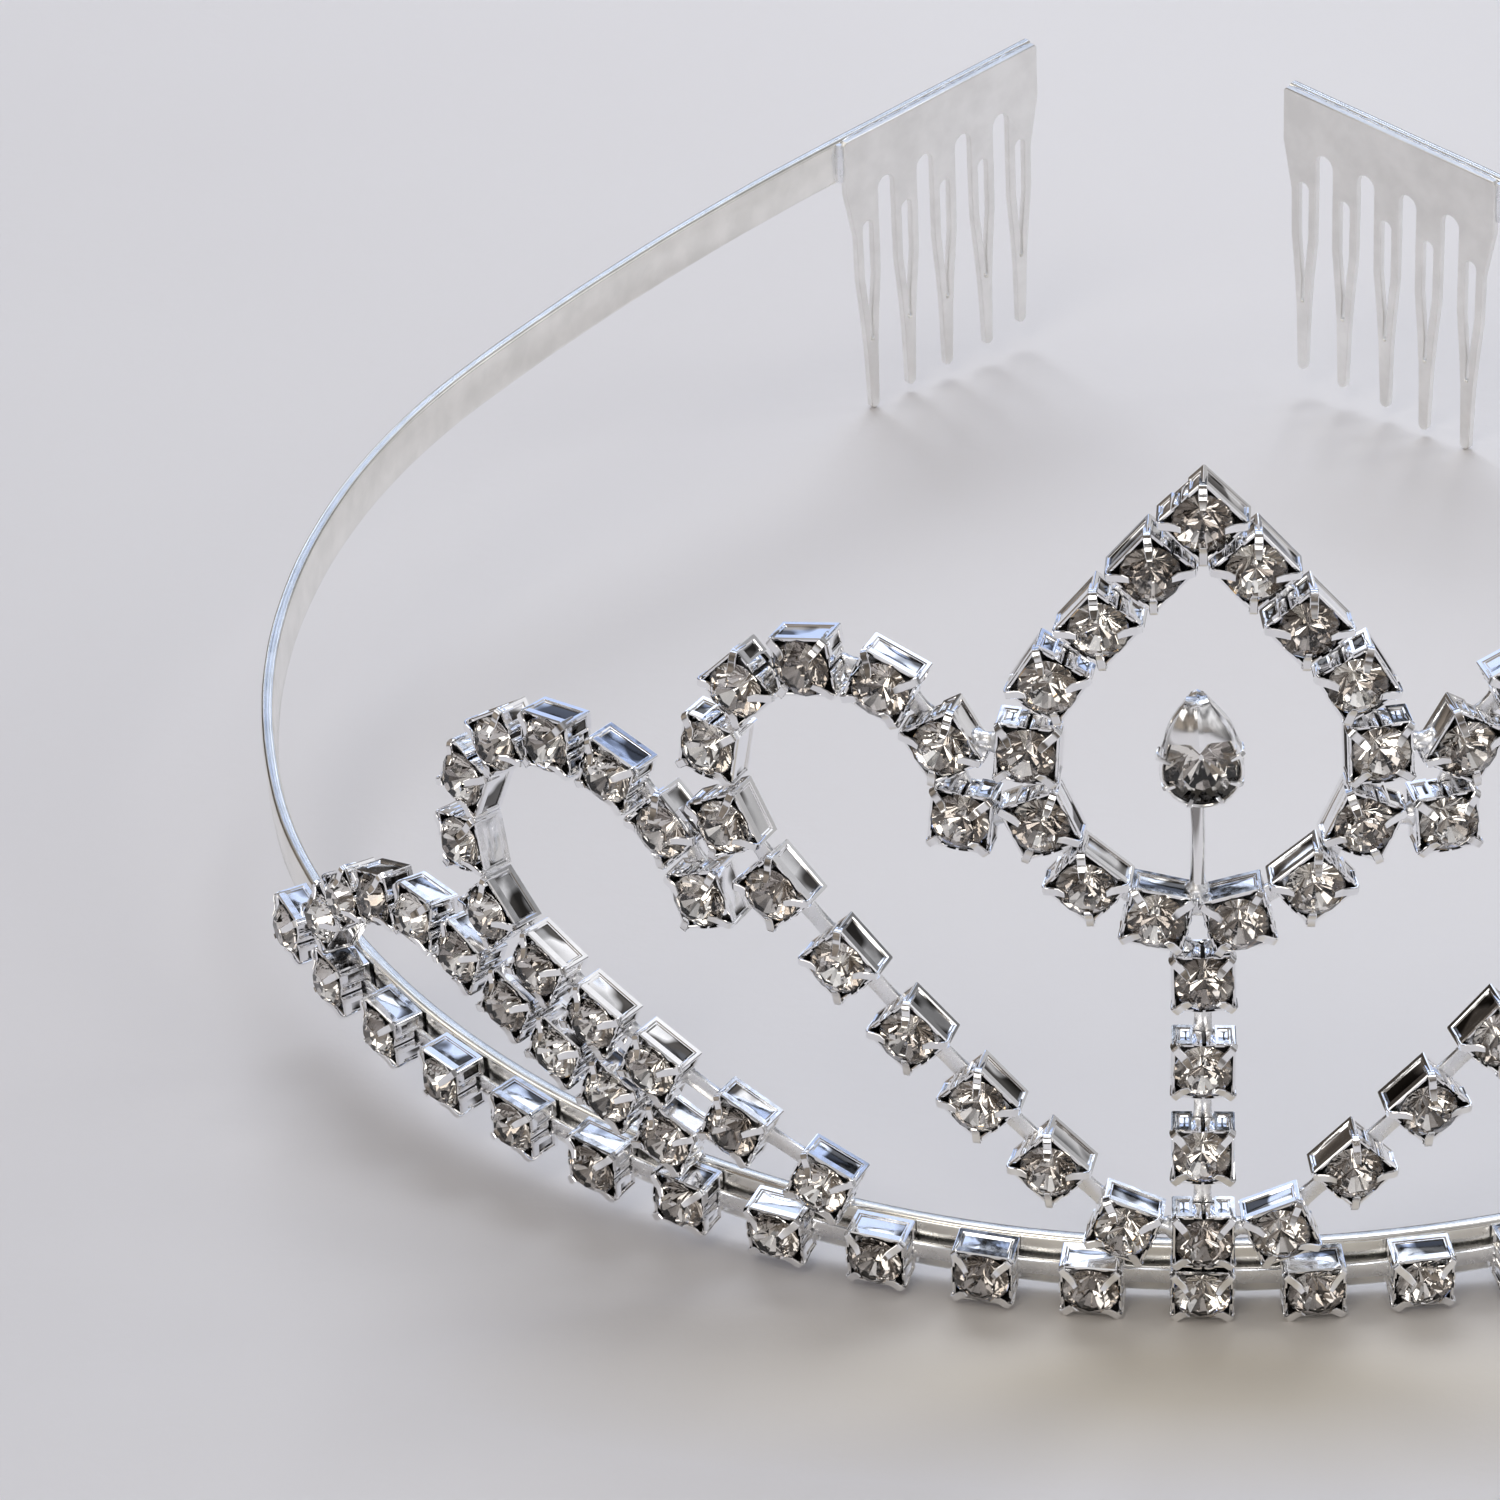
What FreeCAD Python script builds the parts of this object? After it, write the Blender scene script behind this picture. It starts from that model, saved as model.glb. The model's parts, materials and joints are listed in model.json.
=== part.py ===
import FreeCAD, Part
import math
import os

# Bridal tiara. All lengths are millimetres and all angles are degrees.
# The tiara is drawn in the plane of its band: q runs along the band from the middle of the
# front (plus to +X), h rises square to the band plane from the strip's lower edge.
# It is then tipped forward so that it rests on its front settings and on its comb teeth.

# Springy band: a flat strip bent to a round front, two easing bends and two straight ends.
STRIP_HEIGHT = 3.3
STRIP_THICKNESS = 0.8
FRONT_RADIUS = 57.0
FRONT_ANGLE = 120.0
EASE_RADIUS = 200.0
EASE_ANGLE = 10.6
STRAIGHT_END = 20.3
FLEX_AT = 63.6          # q where each springy arm starts, just past the last base setting
FLEX_GAP = 0.16
# How each springy arm is bent in: the radius of its bend, and its turn and lift at its flex.
ARMS = {
    "left": {"radius": 58.5, "turn": 1.5, "lift": -0.1},
    "right": {"radius": 51.0, "turn": 5.0, "lift": 1.15},
}

# Square stamped setting with a round stone.
CUP_WIDTH = 3.2
CUP_WALL = 0.2
CUP_FLOOR = 0.25
CUP_DEPTH = 1.9
CUP_BACK = 0.5          # the cup's back lies this far outside the strip's centre line
PRONG_LEG = 0.65
PRONG_ROOT = 0.4
PRONG_RISE = 0.38
PRONG_TIP_INSET = 0.72  # from the cup's side to the prong's tip
PRONG_TIP_WIDTH = 0.17
PRONG_NOSE = 0.2
PRONG_NOSE_RISE = 0.1
STONE_GIRDLE = 0.12
STONE_CROWN = 0.5
STONE_PAVILION = 1.15
TABLE_RATIO = 0.58
STONE_SIDES = 8

# Flat link bars between settings.
LINK_WIDTH = 1.0
LINK_THICKNESS = 0.35
LINK_END = 0.85         # the bar stops this far from the setting's centre

# Rows of settings.
BASE_PITCH = 5.5
BASE_SIDE_COUNT = 11
BASE_HEIGHT = STRIP_HEIGHT / 2
STEM_FOOT = BASE_HEIGHT + CUP_WIDTH + 0.05
STEM_PITCH = 5.12
STEM_COUNT = 4
CREST_LEAN = 6.7        # the crest leans back from the band plane's normal
RING_RADIUS = 8.8
RING_HEIGHT = 32.42
RING_SHOULDER = 40.0    # angle above level where the ring's arc runs into its straight sides
RING_SIDE_COUNT = 7
RING_SEAM_SHIFT = 0.3   # the ring's chain closes a little to the -X side
RING_POINT_INSET = 0.5  # the point's setting stands this far below where the sides would meet
RING_POINT_TURN = 135.0
STRAIGHT_ON = (1e6, 0.01)  # an arc so wide that it runs straight on
FOOT_HEIGHT = 5.35
FOOT_TURN = 20.0

# Each scroll: where its foot stands, its heading, the straight run, then arcs (radius, sweep).
SCROLLS = {
    "inner": {"foot": 3.87, "heading": 43.2, "straight": 27.2, "arcs": [(6.9, 230.0)],
              "wide": 5, "wide_pitch": 5.0, "tight": 7, "tight_pitch": 4.29},
    "middle": {"foot": 19.4, "heading": 22.6, "straight": 20.6, "arcs": [(6.8, 131.0), (9.1, 100.0)],
               "wide": 2, "wide_pitch": 5.3, "tight": 10, "tight_pitch": 4.06},
    "outer": {"foot": 28.3, "heading": 20.0, "straight": 14.4, "arcs": [(11.6, -120.0)],
              "wide": 0, "wide_pitch": 0.0, "tight": 8, "tight_pitch": 3.78},
}

# Pear drop on its pin.
DROP_Q = -0.15
DROP_HEIGHT = 33.2
DROP_TURN = 4.0
DROP_TALL = 6.1
DROP_RADIUS = 2.05
DROP_DEPTH = 1.7
DROP_TABLE_RATIO = 0.5
DROP_TABLE_RISE = 0.55
DROP_GIRDLE_TOP = 0.02
DROP_GIRDLE = 0.12
DROP_STONE_GAP = 0.03
DROP_CULET = (0.0, -0.4, 0.5)
DROP_PRONG_ANGLES = (-150, -90, -30, 30, 150)
DROP_PRONG_LOW = 1.2    # height of the prongs' roots, and then (out, half width) of each end
DROP_PRONG_ROOT = (1.95, 0.35)
DROP_PRONG_BACK = 2.25
DROP_PRONG_TIP = (1.3, 0.16)
DROP_PRONG_NOSE = 1.35
DROP_PRONG_HIGH = 2.1
DROP_PRONG_NOSE_HIGH = 2.22
POINT_PRONG_ROOT = ((2.3, 0.4), 3.05)
POINT_PRONG_TIP = ((1.5, 0.2), 1.9)
POINT_PRONG_HIGH = 2.2
POINT_PRONG_NOSE_HIGH = 2.35
PIN_RADIUS = 0.32
PIN_INTO_DROP = 0.5
PIN_BEAD_RADIUS = 0.62
PIN_BEAD_RISE = 0.1

# Combs.
COMB_LENGTH = 19.8
COMB_DROP = 22.7
COMB_THICKNESS = 0.5
COMB_PLATE = 4.2
COMB_TEETH = 5
TOOTH_WIDTH = 2.9
TOOTH_TIP_RADIUS = 0.42
SLIT_TOP = 7.1
SLIT_BOTTOM = 17.0
SLIT_RADIUS = 0.55
SLIT_TAPER = 0.35       # radius of a slit's lower end as a share of SLIT_RADIUS
TOOTH_ROOT = 1.5        # how far a tooth reaches up into the plate, and straight down past a slit
TOOTH_NECK = 0.12
TOOTH_NECK_DROP = 1.0
PLATE_SPARE = 1.0
NOTCH_HEIGHT = 2.0

# Solder.
SOLDER_FILM = 0.1
FILM_END_MARGIN = 1.2
FILM_EDGE_MARGIN = 0.6
PAD_LENGTH = 2.0
PAD_HEIGHT = 2.4
FOOT_TAB = 2.2
FOOT_TAB_DEPTH = 1.5
FOOT_TAB_OUT = 0.5
BRIDGE_SIZE = 1.0
BRIDGE_LEVEL = 0.855    # height of a bridge's middle over the settings' backs

TIP_FORWARD = 9.26      # rest angle between the band plane and the table

X_AXIS = FreeCAD.Vector(1, 0, 0)
UP = FreeCAD.Vector(0, 0, 1)


def vector(x, y, z):
    return FreeCAD.Vector(x, y, z)


def across(angle):
    """Unit vector in the band plane that lies along the strip where it has turned by angle."""
    return vector(math.cos(math.radians(angle)), math.sin(math.radians(angle)), 0)


def outward(angle):
    """Unit vector in the band plane, square to the strip and away from the head."""
    return vector(math.sin(math.radians(angle)), -math.cos(math.radians(angle)), 0)


def placement_from_axes(origin, x_dir, y_dir, z_dir):
    matrix = FreeCAD.Matrix(x_dir.x, y_dir.x, z_dir.x, origin.x,
                            x_dir.y, y_dir.y, z_dir.y, origin.y,
                            x_dir.z, y_dir.z, z_dir.z, origin.z,
                            0, 0, 0, 1)
    return FreeCAD.Placement(matrix)


def crest_placement(q, h, turn, lean=CREST_LEAN):
    """Local frame on the back of a setting: x along its chain, z out of its face."""
    angle = math.degrees(q / FRONT_RADIUS)
    normal = outward(angle)
    slope = math.radians(lean)
    rise = UP * math.cos(slope) - normal * math.sin(slope)
    face = normal * math.cos(slope) + UP * math.sin(slope)
    level = across(angle)
    inset = math.tan(slope) * (h - STRIP_HEIGHT)
    centre = vector(0, FRONT_RADIUS, 0) + normal * (FRONT_RADIUS + CUP_BACK - inset) + UP * h
    cos_turn = math.cos(math.radians(turn))
    sin_turn = math.sin(math.radians(turn))
    x_dir = level * cos_turn + rise * sin_turn
    y_dir = rise * cos_turn - level * sin_turn
    return placement_from_axes(centre, x_dir, y_dir, face)


def moved(shape, placement):
    copy = shape.copy()
    copy.Placement = placement.multiply(shape.Placement)
    return copy


def largest(shape):
    return max(shape.Solids, key=lambda solid: solid.Volume)


def centred_box(length, width, low, high):
    return Part.makeBox(length, width, high - low, vector(-length / 2, -width / 2, low))


# ---- polyhedra ----

def polygon_face(points):
    return Part.Face(Part.makePolygon(points + [points[0]]))


def ring_solid(rings, apex=None):
    """Closed solid through stacked rings of points, ending in a flat cap or in an apex."""
    faces = [polygon_face(rings[0])]
    count = len(rings[0])
    for lower, upper in zip(rings, rings[1:]):
        for i in range(count):
            j = (i + 1) % count
            faces.append(polygon_face([lower[i], lower[j], upper[j]]))
            faces.append(polygon_face([lower[i], upper[j], upper[i]]))
    if apex is None:
        faces.append(polygon_face(rings[-1]))
    else:
        for i in range(count):
            faces.append(polygon_face([rings[-1][i], rings[-1][(i + 1) % count], apex]))
    solid = Part.makeSolid(Part.makeShell(faces))
    if solid.Volume < 0:
        solid.reverse()
    return solid.removeSplitter()


def regular_ring(apothem, count, height):
    radius = apothem / math.cos(math.pi / count)
    ring = []
    for i in range(count):
        angle = 2 * math.pi * (i + 0.5) / count
        ring.append(vector(radius * math.cos(angle), radius * math.sin(angle), height))
    return ring


def round_stone():
    """Eight-sided cut stone: table, crown, girdle that touches the cup's walls, pavilion."""
    apothem = CUP_WIDTH / 2 - CUP_WALL
    girdle = CUP_DEPTH - STONE_GIRDLE / 2
    table = regular_ring(apothem * TABLE_RATIO, STONE_SIDES, girdle + STONE_GIRDLE + STONE_CROWN)
    upper = regular_ring(apothem, STONE_SIDES, girdle + STONE_GIRDLE)
    lower = regular_ring(apothem, STONE_SIDES, girdle)
    culet = vector(0, 0, girdle - STONE_PAVILION)
    return ring_solid([table, upper, lower], culet)


# ---- settings ----

def corner_prong():
    """Prong that rises from the (+x, +y) corner and folds in over the stone."""
    edge = CUP_WIDTH / 2
    inner = edge - PRONG_LEG
    low = CUP_DEPTH - PRONG_ROOT
    root = [vector(edge, inner, low), vector(edge, edge, low), vector(inner, edge, low)]
    tip_high = CUP_DEPTH + PRONG_RISE
    reach = edge - PRONG_TIP_INSET
    nose = reach + PRONG_NOSE
    tip = [vector(reach + PRONG_TIP_WIDTH, reach, tip_high),
           vector(nose, nose, tip_high + PRONG_NOSE_RISE),
           vector(reach, reach + PRONG_TIP_WIDTH, tip_high)]
    return ring_solid([root, tip])


def square_cup():
    cup = centred_box(CUP_WIDTH, CUP_WIDTH, 0, CUP_DEPTH)
    inside = CUP_WIDTH - 2 * CUP_WALL
    cup = cup.cut(centred_box(inside, inside, CUP_FLOOR, CUP_DEPTH + 1))
    prong = corner_prong()
    for quarter in range(4):
        turned = prong.copy()
        turned.rotate(vector(0, 0, 0), UP, 90 * quarter)
        cup = cup.fuse(turned)
    return cup.removeSplitter()


CUP = square_cup()
BLANK = centred_box(CUP_WIDTH, CUP_WIDTH, 0, CUP_DEPTH)
STONE = round_stone()


def link_bar(first, second):
    """Flat bar that lies on the floors of two neighbouring settings."""
    low = vector(0, 0, CUP_FLOOR)
    start = first.multVec(low)
    end = second.multVec(low)
    x_dir = (end - start).normalize()
    face = first.Rotation.multVec(UP) + second.Rotation.multVec(UP)
    y_dir = face.cross(x_dir).normalize()
    z_dir = x_dir.cross(y_dir).normalize()
    length = (end - start).Length - 2 * LINK_END
    bar = Part.makeBox(length, LINK_WIDTH, LINK_THICKNESS, vector(LINK_END, -LINK_WIDTH / 2, 0))
    return moved(bar, placement_from_axes(start, x_dir, y_dir, z_dir))


def chain(places, closed=False):
    """Cups, links and stones of one chain whose settings stand at the given placements."""
    pairs = list(zip(places, places[1:]))
    if closed:
        pairs.append((places[-1], places[0]))
    links = [link_bar(first, second) for first, second in pairs]
    cups = []
    for place in places:
        cup = moved(CUP, place)
        for link in links:
            if link.BoundBox.intersect(cup.BoundBox):
                cup = cup.cut(link)
        cups.append(cup)
    stones = [moved(STONE, place) for place in places]
    return {"cups": cups, "links": links, "stones": stones}


# ---- routes of the chains ----

def walk(start, heading, straight, arcs, distance):
    """Point (q, h) and heading after a distance along a straight run followed by arcs."""
    q, h = start
    angle = math.radians(heading)
    step = min(distance, straight)
    q += step * math.cos(angle)
    h += step * math.sin(angle)
    left = distance - step
    for radius, sweep in arcs:
        side = math.copysign(1.0, sweep)
        step = min(left, radius * math.radians(abs(sweep)))
        turned = angle + side * step / radius
        q += side * radius * (math.sin(turned) - math.sin(angle))
        h -= side * radius * (math.cos(turned) - math.cos(angle))
        angle = turned
        left -= step
    return q, h, math.degrees(angle)


def scroll_places(scroll, side):
    """Placements of a scroll's settings, side +1 or -1 for +X or -X."""
    distances = [scroll["wide_pitch"] * i for i in range(scroll["wide"] + 1)]
    distances += [distances[-1] + scroll["tight_pitch"] * i for i in range(1, scroll["tight"] + 1)]
    places = []
    for distance in distances:
        q, h, turn = walk((scroll["foot"], FOOT_HEIGHT), scroll["heading"], scroll["straight"],
                          scroll["arcs"], distance)
        if distance == 0:
            turn = FOOT_TURN
        places.append(crest_placement(side * q, h, side * turn))
    return places


def base_places():
    places = []
    for i in range(-BASE_SIDE_COUNT, BASE_SIDE_COUNT + 1):
        places.append(crest_placement(i * BASE_PITCH, BASE_HEIGHT, 0, lean=0))
    return places


def stem_places():
    return [crest_placement(0, STEM_FOOT + STEM_PITCH * i, 90) for i in range(STEM_COUNT)]


def ring_places():
    """Once round the ring: up the +X side, the point, and down the -X side."""
    arc = RING_RADIUS * math.radians(90 + RING_SHOULDER)
    side_line = RING_RADIUS / math.tan(math.radians(RING_SHOULDER))
    pitch = (arc + side_line) / (RING_SIDE_COUNT + 0.5)
    start = (0, RING_HEIGHT - RING_RADIUS)
    arcs = [(RING_RADIUS, 90 + RING_SHOULDER), STRAIGHT_ON]
    sides = []
    for i in range(RING_SIDE_COUNT):
        q, h, turn = walk(start, 0, 0, arcs, pitch * (i + 0.5))
        sides.append((q, h, turn))
    point_height = RING_HEIGHT + RING_RADIUS / math.sin(math.radians(RING_SHOULDER)) - RING_POINT_INSET
    shifts = [RING_SEAM_SHIFT / 2 ** i for i in range(RING_SIDE_COUNT)]
    rising = [crest_placement(q - shift, h, turn) for (q, h, turn), shift in zip(sides, shifts)]
    falling = [crest_placement(-q - shift, h, -turn) for (q, h, turn), shift in zip(sides, shifts)]
    return rising + [crest_placement(0, point_height, RING_POINT_TURN)] + falling[::-1]


# ---- band ----

def strip_region(start, end, arm_radius=FRONT_RADIUS):
    """The strip's outline in the band plane between two distances along its centre line.

    Past FLEX_AT the round front's radius is arm_radius, through the same angle."""
    half = STRIP_THICKNESS / 2
    flex_angle = FLEX_AT / FRONT_RADIUS
    arm_length = arm_radius * (math.radians(FRONT_ANGLE) - flex_angle)
    ease_length = EASE_RADIUS * math.radians(EASE_ANGLE)
    runs = [(FLEX_AT, FRONT_RADIUS), (arm_length, arm_radius), (ease_length, EASE_RADIUS)]

    def at(distance, offset):
        x = 0.0
        y = 0.0
        turned = 0.0
        left = distance
        for length, radius in runs:
            angle = turned + min(left, length) / radius
            x += radius * (math.sin(angle) - math.sin(turned))
            y -= radius * (math.cos(angle) - math.cos(turned))
            left = max(0.0, left - length)
            turned = angle
        x += left * math.cos(turned)
        y += left * math.sin(turned)
        return vector(x, y, 0) + outward(math.degrees(turned)) * offset

    bends = [FLEX_AT, FLEX_AT + arm_length, FLEX_AT + arm_length + ease_length]
    stops = [start] + [d for d in bends if start < d < end] + [end]

    def side_edges(offset):
        edges = []
        for low, high in zip(stops, stops[1:]):
            if low >= bends[-1]:
                edges.append(Part.LineSegment(at(low, offset), at(high, offset)).toShape())
            else:
                middle = at((low + high) / 2, offset)
                edges.append(Part.Arc(at(low, offset), middle, at(high, offset)).toShape())
        return edges

    ends = [Part.LineSegment(at(d, -half), at(d, half)).toShape() for d in (start, end)]
    wire = Part.Wire(Part.__sortEdges__(side_edges(half) + side_edges(-half) + ends))
    return Part.Face(wire), at


def mirror_x(shape):
    return shape.mirror(vector(0, 0, 0), X_AXIS)


def band_length(arm_radius):
    """Distance along the centre line from the middle of the front to an arm's end."""
    arm_length = arm_radius * (math.radians(FRONT_ANGLE) - FLEX_AT / FRONT_RADIUS)
    return FLEX_AT + arm_length + EASE_RADIUS * math.radians(EASE_ANGLE) + STRAIGHT_END


def band_front():
    half_face = strip_region(0, FLEX_AT - FLEX_GAP / 2)[0]
    half = half_face.extrude(UP * STRIP_HEIGHT)
    return half.fuse(mirror_x(half)).removeSplitter()


def band_arm(arm_radius):
    """Springy arm, drawn on the +X side."""
    face = strip_region(FLEX_AT + FLEX_GAP / 2, band_length(arm_radius), arm_radius)[0]
    return face.extrude(UP * STRIP_HEIGHT)


def bent_in(turn_angle, lift_angle):
    """How an arm on the +X side is turned in and lifted about the middle of the strip at its flex."""
    flex_angle = math.degrees(FLEX_AT / FRONT_RADIUS)
    pivot = strip_region(0, FLEX_AT)[1](FLEX_AT, 0) + UP * (STRIP_HEIGHT / 2)
    turn = FreeCAD.Rotation(UP, turn_angle)
    lift = FreeCAD.Rotation(outward(flex_angle), lift_angle)
    return FreeCAD.Placement(vector(0, 0, 0), turn.multiply(lift), pivot)


# ---- combs ----

def comb_placement(arm_radius):
    """Inside an arm's straight end: x back along the strip, y up, z towards the head."""
    length = band_length(arm_radius)
    at = strip_region(0, length, arm_radius)[1]
    origin = at(length, -(STRIP_THICKNESS / 2 + SOLDER_FILM)) + UP * STRIP_HEIGHT
    x_dir = across(FRONT_ANGLE + EASE_ANGLE) * -1
    return placement_from_axes(origin, x_dir, UP, x_dir.cross(UP))


def rounded_bar(x, top, bottom, radius):
    """Upright slot-shaped face with a round top and a tapering, round bottom."""
    small = radius * SLIT_TAPER
    lean = math.asin((radius - small) / (top - bottom - radius - small))
    edges = []
    high = vector(x, top - radius, 0)
    low = vector(x, bottom + small, 0)
    right = vector(math.cos(lean), -math.sin(lean), 0)
    left = vector(-right.x, right.y, 0)
    edges.append(Part.Arc(high + right * radius, high + vector(0, radius, 0),
                          high + left * radius).toShape())
    edges.append(Part.LineSegment(high + left * radius, low + left * small).toShape())
    edges.append(Part.Arc(low + left * small, low + vector(0, -small, 0),
                          low + right * small).toShape())
    edges.append(Part.LineSegment(low + right * small, high + right * radius).toShape())
    return Part.Face(Part.Wire(edges))


def tooth_face(x):
    """One tooth: two prongs that run together into a rounded tip."""
    half = TOOTH_WIDTH / 2
    root = -COMB_PLATE + TOOTH_ROOT
    shoulder = -SLIT_TOP - TOOTH_ROOT
    neck = TOOTH_TIP_RADIUS + TOOTH_NECK
    neck_low = -SLIT_BOTTOM - TOOTH_NECK_DROP
    tip_low = -COMB_DROP + TOOTH_TIP_RADIUS
    falling = [vector(x - half, root, 0), vector(x + half, root, 0), vector(x + half, shoulder, 0),
               vector(x + neck, neck_low, 0), vector(x + TOOTH_TIP_RADIUS, tip_low, 0)]
    rising = [vector(x - TOOTH_TIP_RADIUS, tip_low, 0), vector(x - neck, neck_low, 0),
              vector(x - half, shoulder, 0), falling[0]]
    edges = [Part.LineSegment(a, b).toShape() for a, b in zip(falling, falling[1:])]
    edges.append(Part.Arc(falling[-1], vector(x, -COMB_DROP, 0), rising[0]).toShape())
    edges += [Part.LineSegment(a, b).toShape() for a, b in zip(rising, rising[1:])]
    return Part.Face(Part.Wire(edges))


def comb():
    """Stamped comb in its own frame, hanging from its top edge, which lies along x."""
    pitch = COMB_LENGTH / COMB_TEETH
    centres = [pitch * (i + 0.5) for i in range(COMB_TEETH)]
    depth = COMB_PLATE + PLATE_SPARE
    plate = centred_box(COMB_LENGTH, depth, 0, COMB_THICKNESS)
    plate.translate(vector(COMB_LENGTH / 2, -depth / 2, 0))
    thick = UP * COMB_THICKNESS
    for x in centres:
        plate = plate.fuse(tooth_face(x).extrude(thick))
    for x in centres:
        plate = plate.cut(rounded_bar(x, -SLIT_TOP, -SLIT_BOTTOM, SLIT_RADIUS).extrude(thick))
    gap = pitch - TOOTH_WIDTH
    for x in [pitch * i for i in range(1, COMB_TEETH)]:
        notch = centred_box(gap, NOTCH_HEIGHT, 0, COMB_THICKNESS)
        notch.translate(vector(x, -COMB_PLATE - (NOTCH_HEIGHT + gap) / 2, 0))
        round_top = Part.makeCylinder(gap / 2, COMB_THICKNESS, vector(x, -COMB_PLATE - gap / 2, 0))
        plate = plate.cut(notch).cut(round_top)
    return plate.removeSplitter()


def comb_solder():
    film = centred_box(COMB_LENGTH - FILM_END_MARGIN, STRIP_HEIGHT - FILM_EDGE_MARGIN,
                       -SOLDER_FILM, 0)
    film.translate(vector(COMB_LENGTH / 2, -STRIP_HEIGHT / 2, 0))
    return film


# ---- pear drop ----

def pear_outline(grow, height):
    """Pear outline with its point up: a round base and two flat flanks."""
    radius = DROP_RADIUS + grow
    centre = -DROP_TALL / 2 + DROP_RADIUS
    point = DROP_TALL / 2 - centre + grow * DROP_TALL / (2 * DROP_RADIUS)
    shoulder = math.asin(radius / point)
    side = [vector(radius * math.cos(shoulder), centre + radius * math.sin(shoulder), height),
            vector(-radius * math.cos(shoulder), centre + radius * math.sin(shoulder), height)]
    bottom = vector(0, centre - radius, height)
    top = vector(0, centre + point, height)
    return Part.Wire([Part.Arc(side[1], bottom, side[0]).toShape(),
                      Part.LineSegment(side[0], top).toShape(),
                      Part.LineSegment(top, side[1]).toShape()])


def pear_ring(grow, scale, height, count=10):
    """Points round the pear outline, scaled about its middle."""
    ring = []
    for point in pear_outline(grow, 0).discretize(3 * count + 1)[0:-1:3]:
        ring.append(vector(point.x * scale, point.y * scale, height))
    return ring


def drop_prong():
    """Prong of the pear setting, on its +x side."""
    out, half = DROP_PRONG_ROOT
    tip_out, tip_half = DROP_PRONG_TIP
    root = [vector(out, -half, DROP_PRONG_LOW), vector(DROP_PRONG_BACK, 0, DROP_PRONG_LOW),
            vector(out, half, DROP_PRONG_LOW)]
    tip = [vector(tip_out, -tip_half, DROP_PRONG_HIGH),
           vector(DROP_PRONG_NOSE, 0, DROP_PRONG_NOSE_HIGH),
           vector(tip_out, tip_half, DROP_PRONG_HIGH)]
    return ring_solid([root, tip])


def point_prong():
    """Prong folded over the pear's point."""
    (low, half), back = POINT_PRONG_ROOT
    (tip_low, tip_half), nose = POINT_PRONG_TIP
    root = [vector(-half, low, DROP_PRONG_LOW), vector(half, low, DROP_PRONG_LOW),
            vector(0, back, DROP_PRONG_LOW)]
    tip = [vector(-tip_half, tip_low, POINT_PRONG_HIGH), vector(tip_half, tip_low, POINT_PRONG_HIGH),
           vector(0, nose, POINT_PRONG_NOSE_HIGH)]
    return ring_solid([root, tip])


def drop_cup():
    body = Part.Face(pear_outline(0, 0)).extrude(UP * DROP_DEPTH)
    body = body.cut(Part.Face(pear_outline(-CUP_WALL, CUP_FLOOR)).extrude(UP * DROP_DEPTH))
    centre = vector(0, -DROP_TALL / 2 + DROP_RADIUS, 0)
    for angle in DROP_PRONG_ANGLES:
        finger = drop_prong()
        finger.rotate(vector(0, 0, 0), UP, angle)
        finger.translate(centre)
        body = body.fuse(finger)
    return body.fuse(point_prong()).removeSplitter()


def drop_stone():
    inside = -CUP_WALL - DROP_STONE_GAP
    top = DROP_DEPTH + DROP_GIRDLE_TOP
    rings = [pear_ring(inside, DROP_TABLE_RATIO, DROP_DEPTH + DROP_TABLE_RISE),
             pear_ring(inside, 1.0, top), pear_ring(inside, 1.0, top - DROP_GIRDLE)]
    return ring_solid(rings, vector(*DROP_CULET))


# ---- solder ----

def solder_bridge(first, second):
    """Solder between two settings: a block along the line of their centres, cut off at both."""
    middle = vector(0, 0, BRIDGE_LEVEL)
    start = first.multVec(middle)
    end = second.multVec(middle)
    x_dir = (end - start).normalize()
    face = first.Rotation.multVec(UP)
    y_dir = face.cross(x_dir).normalize()
    z_dir = x_dir.cross(y_dir).normalize()
    length = (end - start).Length
    half = BRIDGE_SIZE / 2
    block = Part.makeBox(length, BRIDGE_SIZE, BRIDGE_SIZE, vector(0, -half, -half))
    block = moved(block, placement_from_axes(start, x_dir, y_dir, z_dir))
    return block.cut(moved(BLANK, first)).cut(moved(BLANK, second))


def base_solder(places, band):
    pads = []
    for place in places:
        pad = moved(centred_box(PAD_LENGTH, PAD_HEIGHT, -CUP_BACK, 0), place)
        pads.append(pad.cut(band))
    return pads


def foot_solder(place):
    """Solder tab between the strip's upper edge and the back of a foot setting."""
    foot = place.Base
    angle = math.degrees(math.atan2(foot.x, FRONT_RADIUS - foot.y))
    inward = outward(angle) * -1
    origin = vector(foot.x, foot.y, STRIP_HEIGHT)
    tab = Part.makeBox(FOOT_TAB, FOOT_TAB_DEPTH, foot.z - STRIP_HEIGHT,
                       vector(-FOOT_TAB / 2, -FOOT_TAB_OUT, 0))
    tab = moved(tab, placement_from_axes(origin, across(angle), inward, UP))
    inside = Part.makeCylinder(FRONT_RADIUS - STRIP_THICKNESS / 2, foot.z,
                               vector(0, FRONT_RADIUS, 0))
    return tab.cut(moved(BLANK, place)).cut(inside)


def pin_solder(pin_place, pin_foot, pin, neighbours):
    """Bead of solder round the pin, on top of the two settings that it stands between."""
    centre = pin_place.multVec(vector(0, pin_foot + CUP_WIDTH / 2 + PIN_BEAD_RISE, CUP_DEPTH / 2))
    bead = Part.makeSphere(PIN_BEAD_RADIUS, centre).cut(pin)
    for place in neighbours:
        bead = bead.cut(moved(BLANK, place))
    return largest(bead)


# ---- assembly ----

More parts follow.
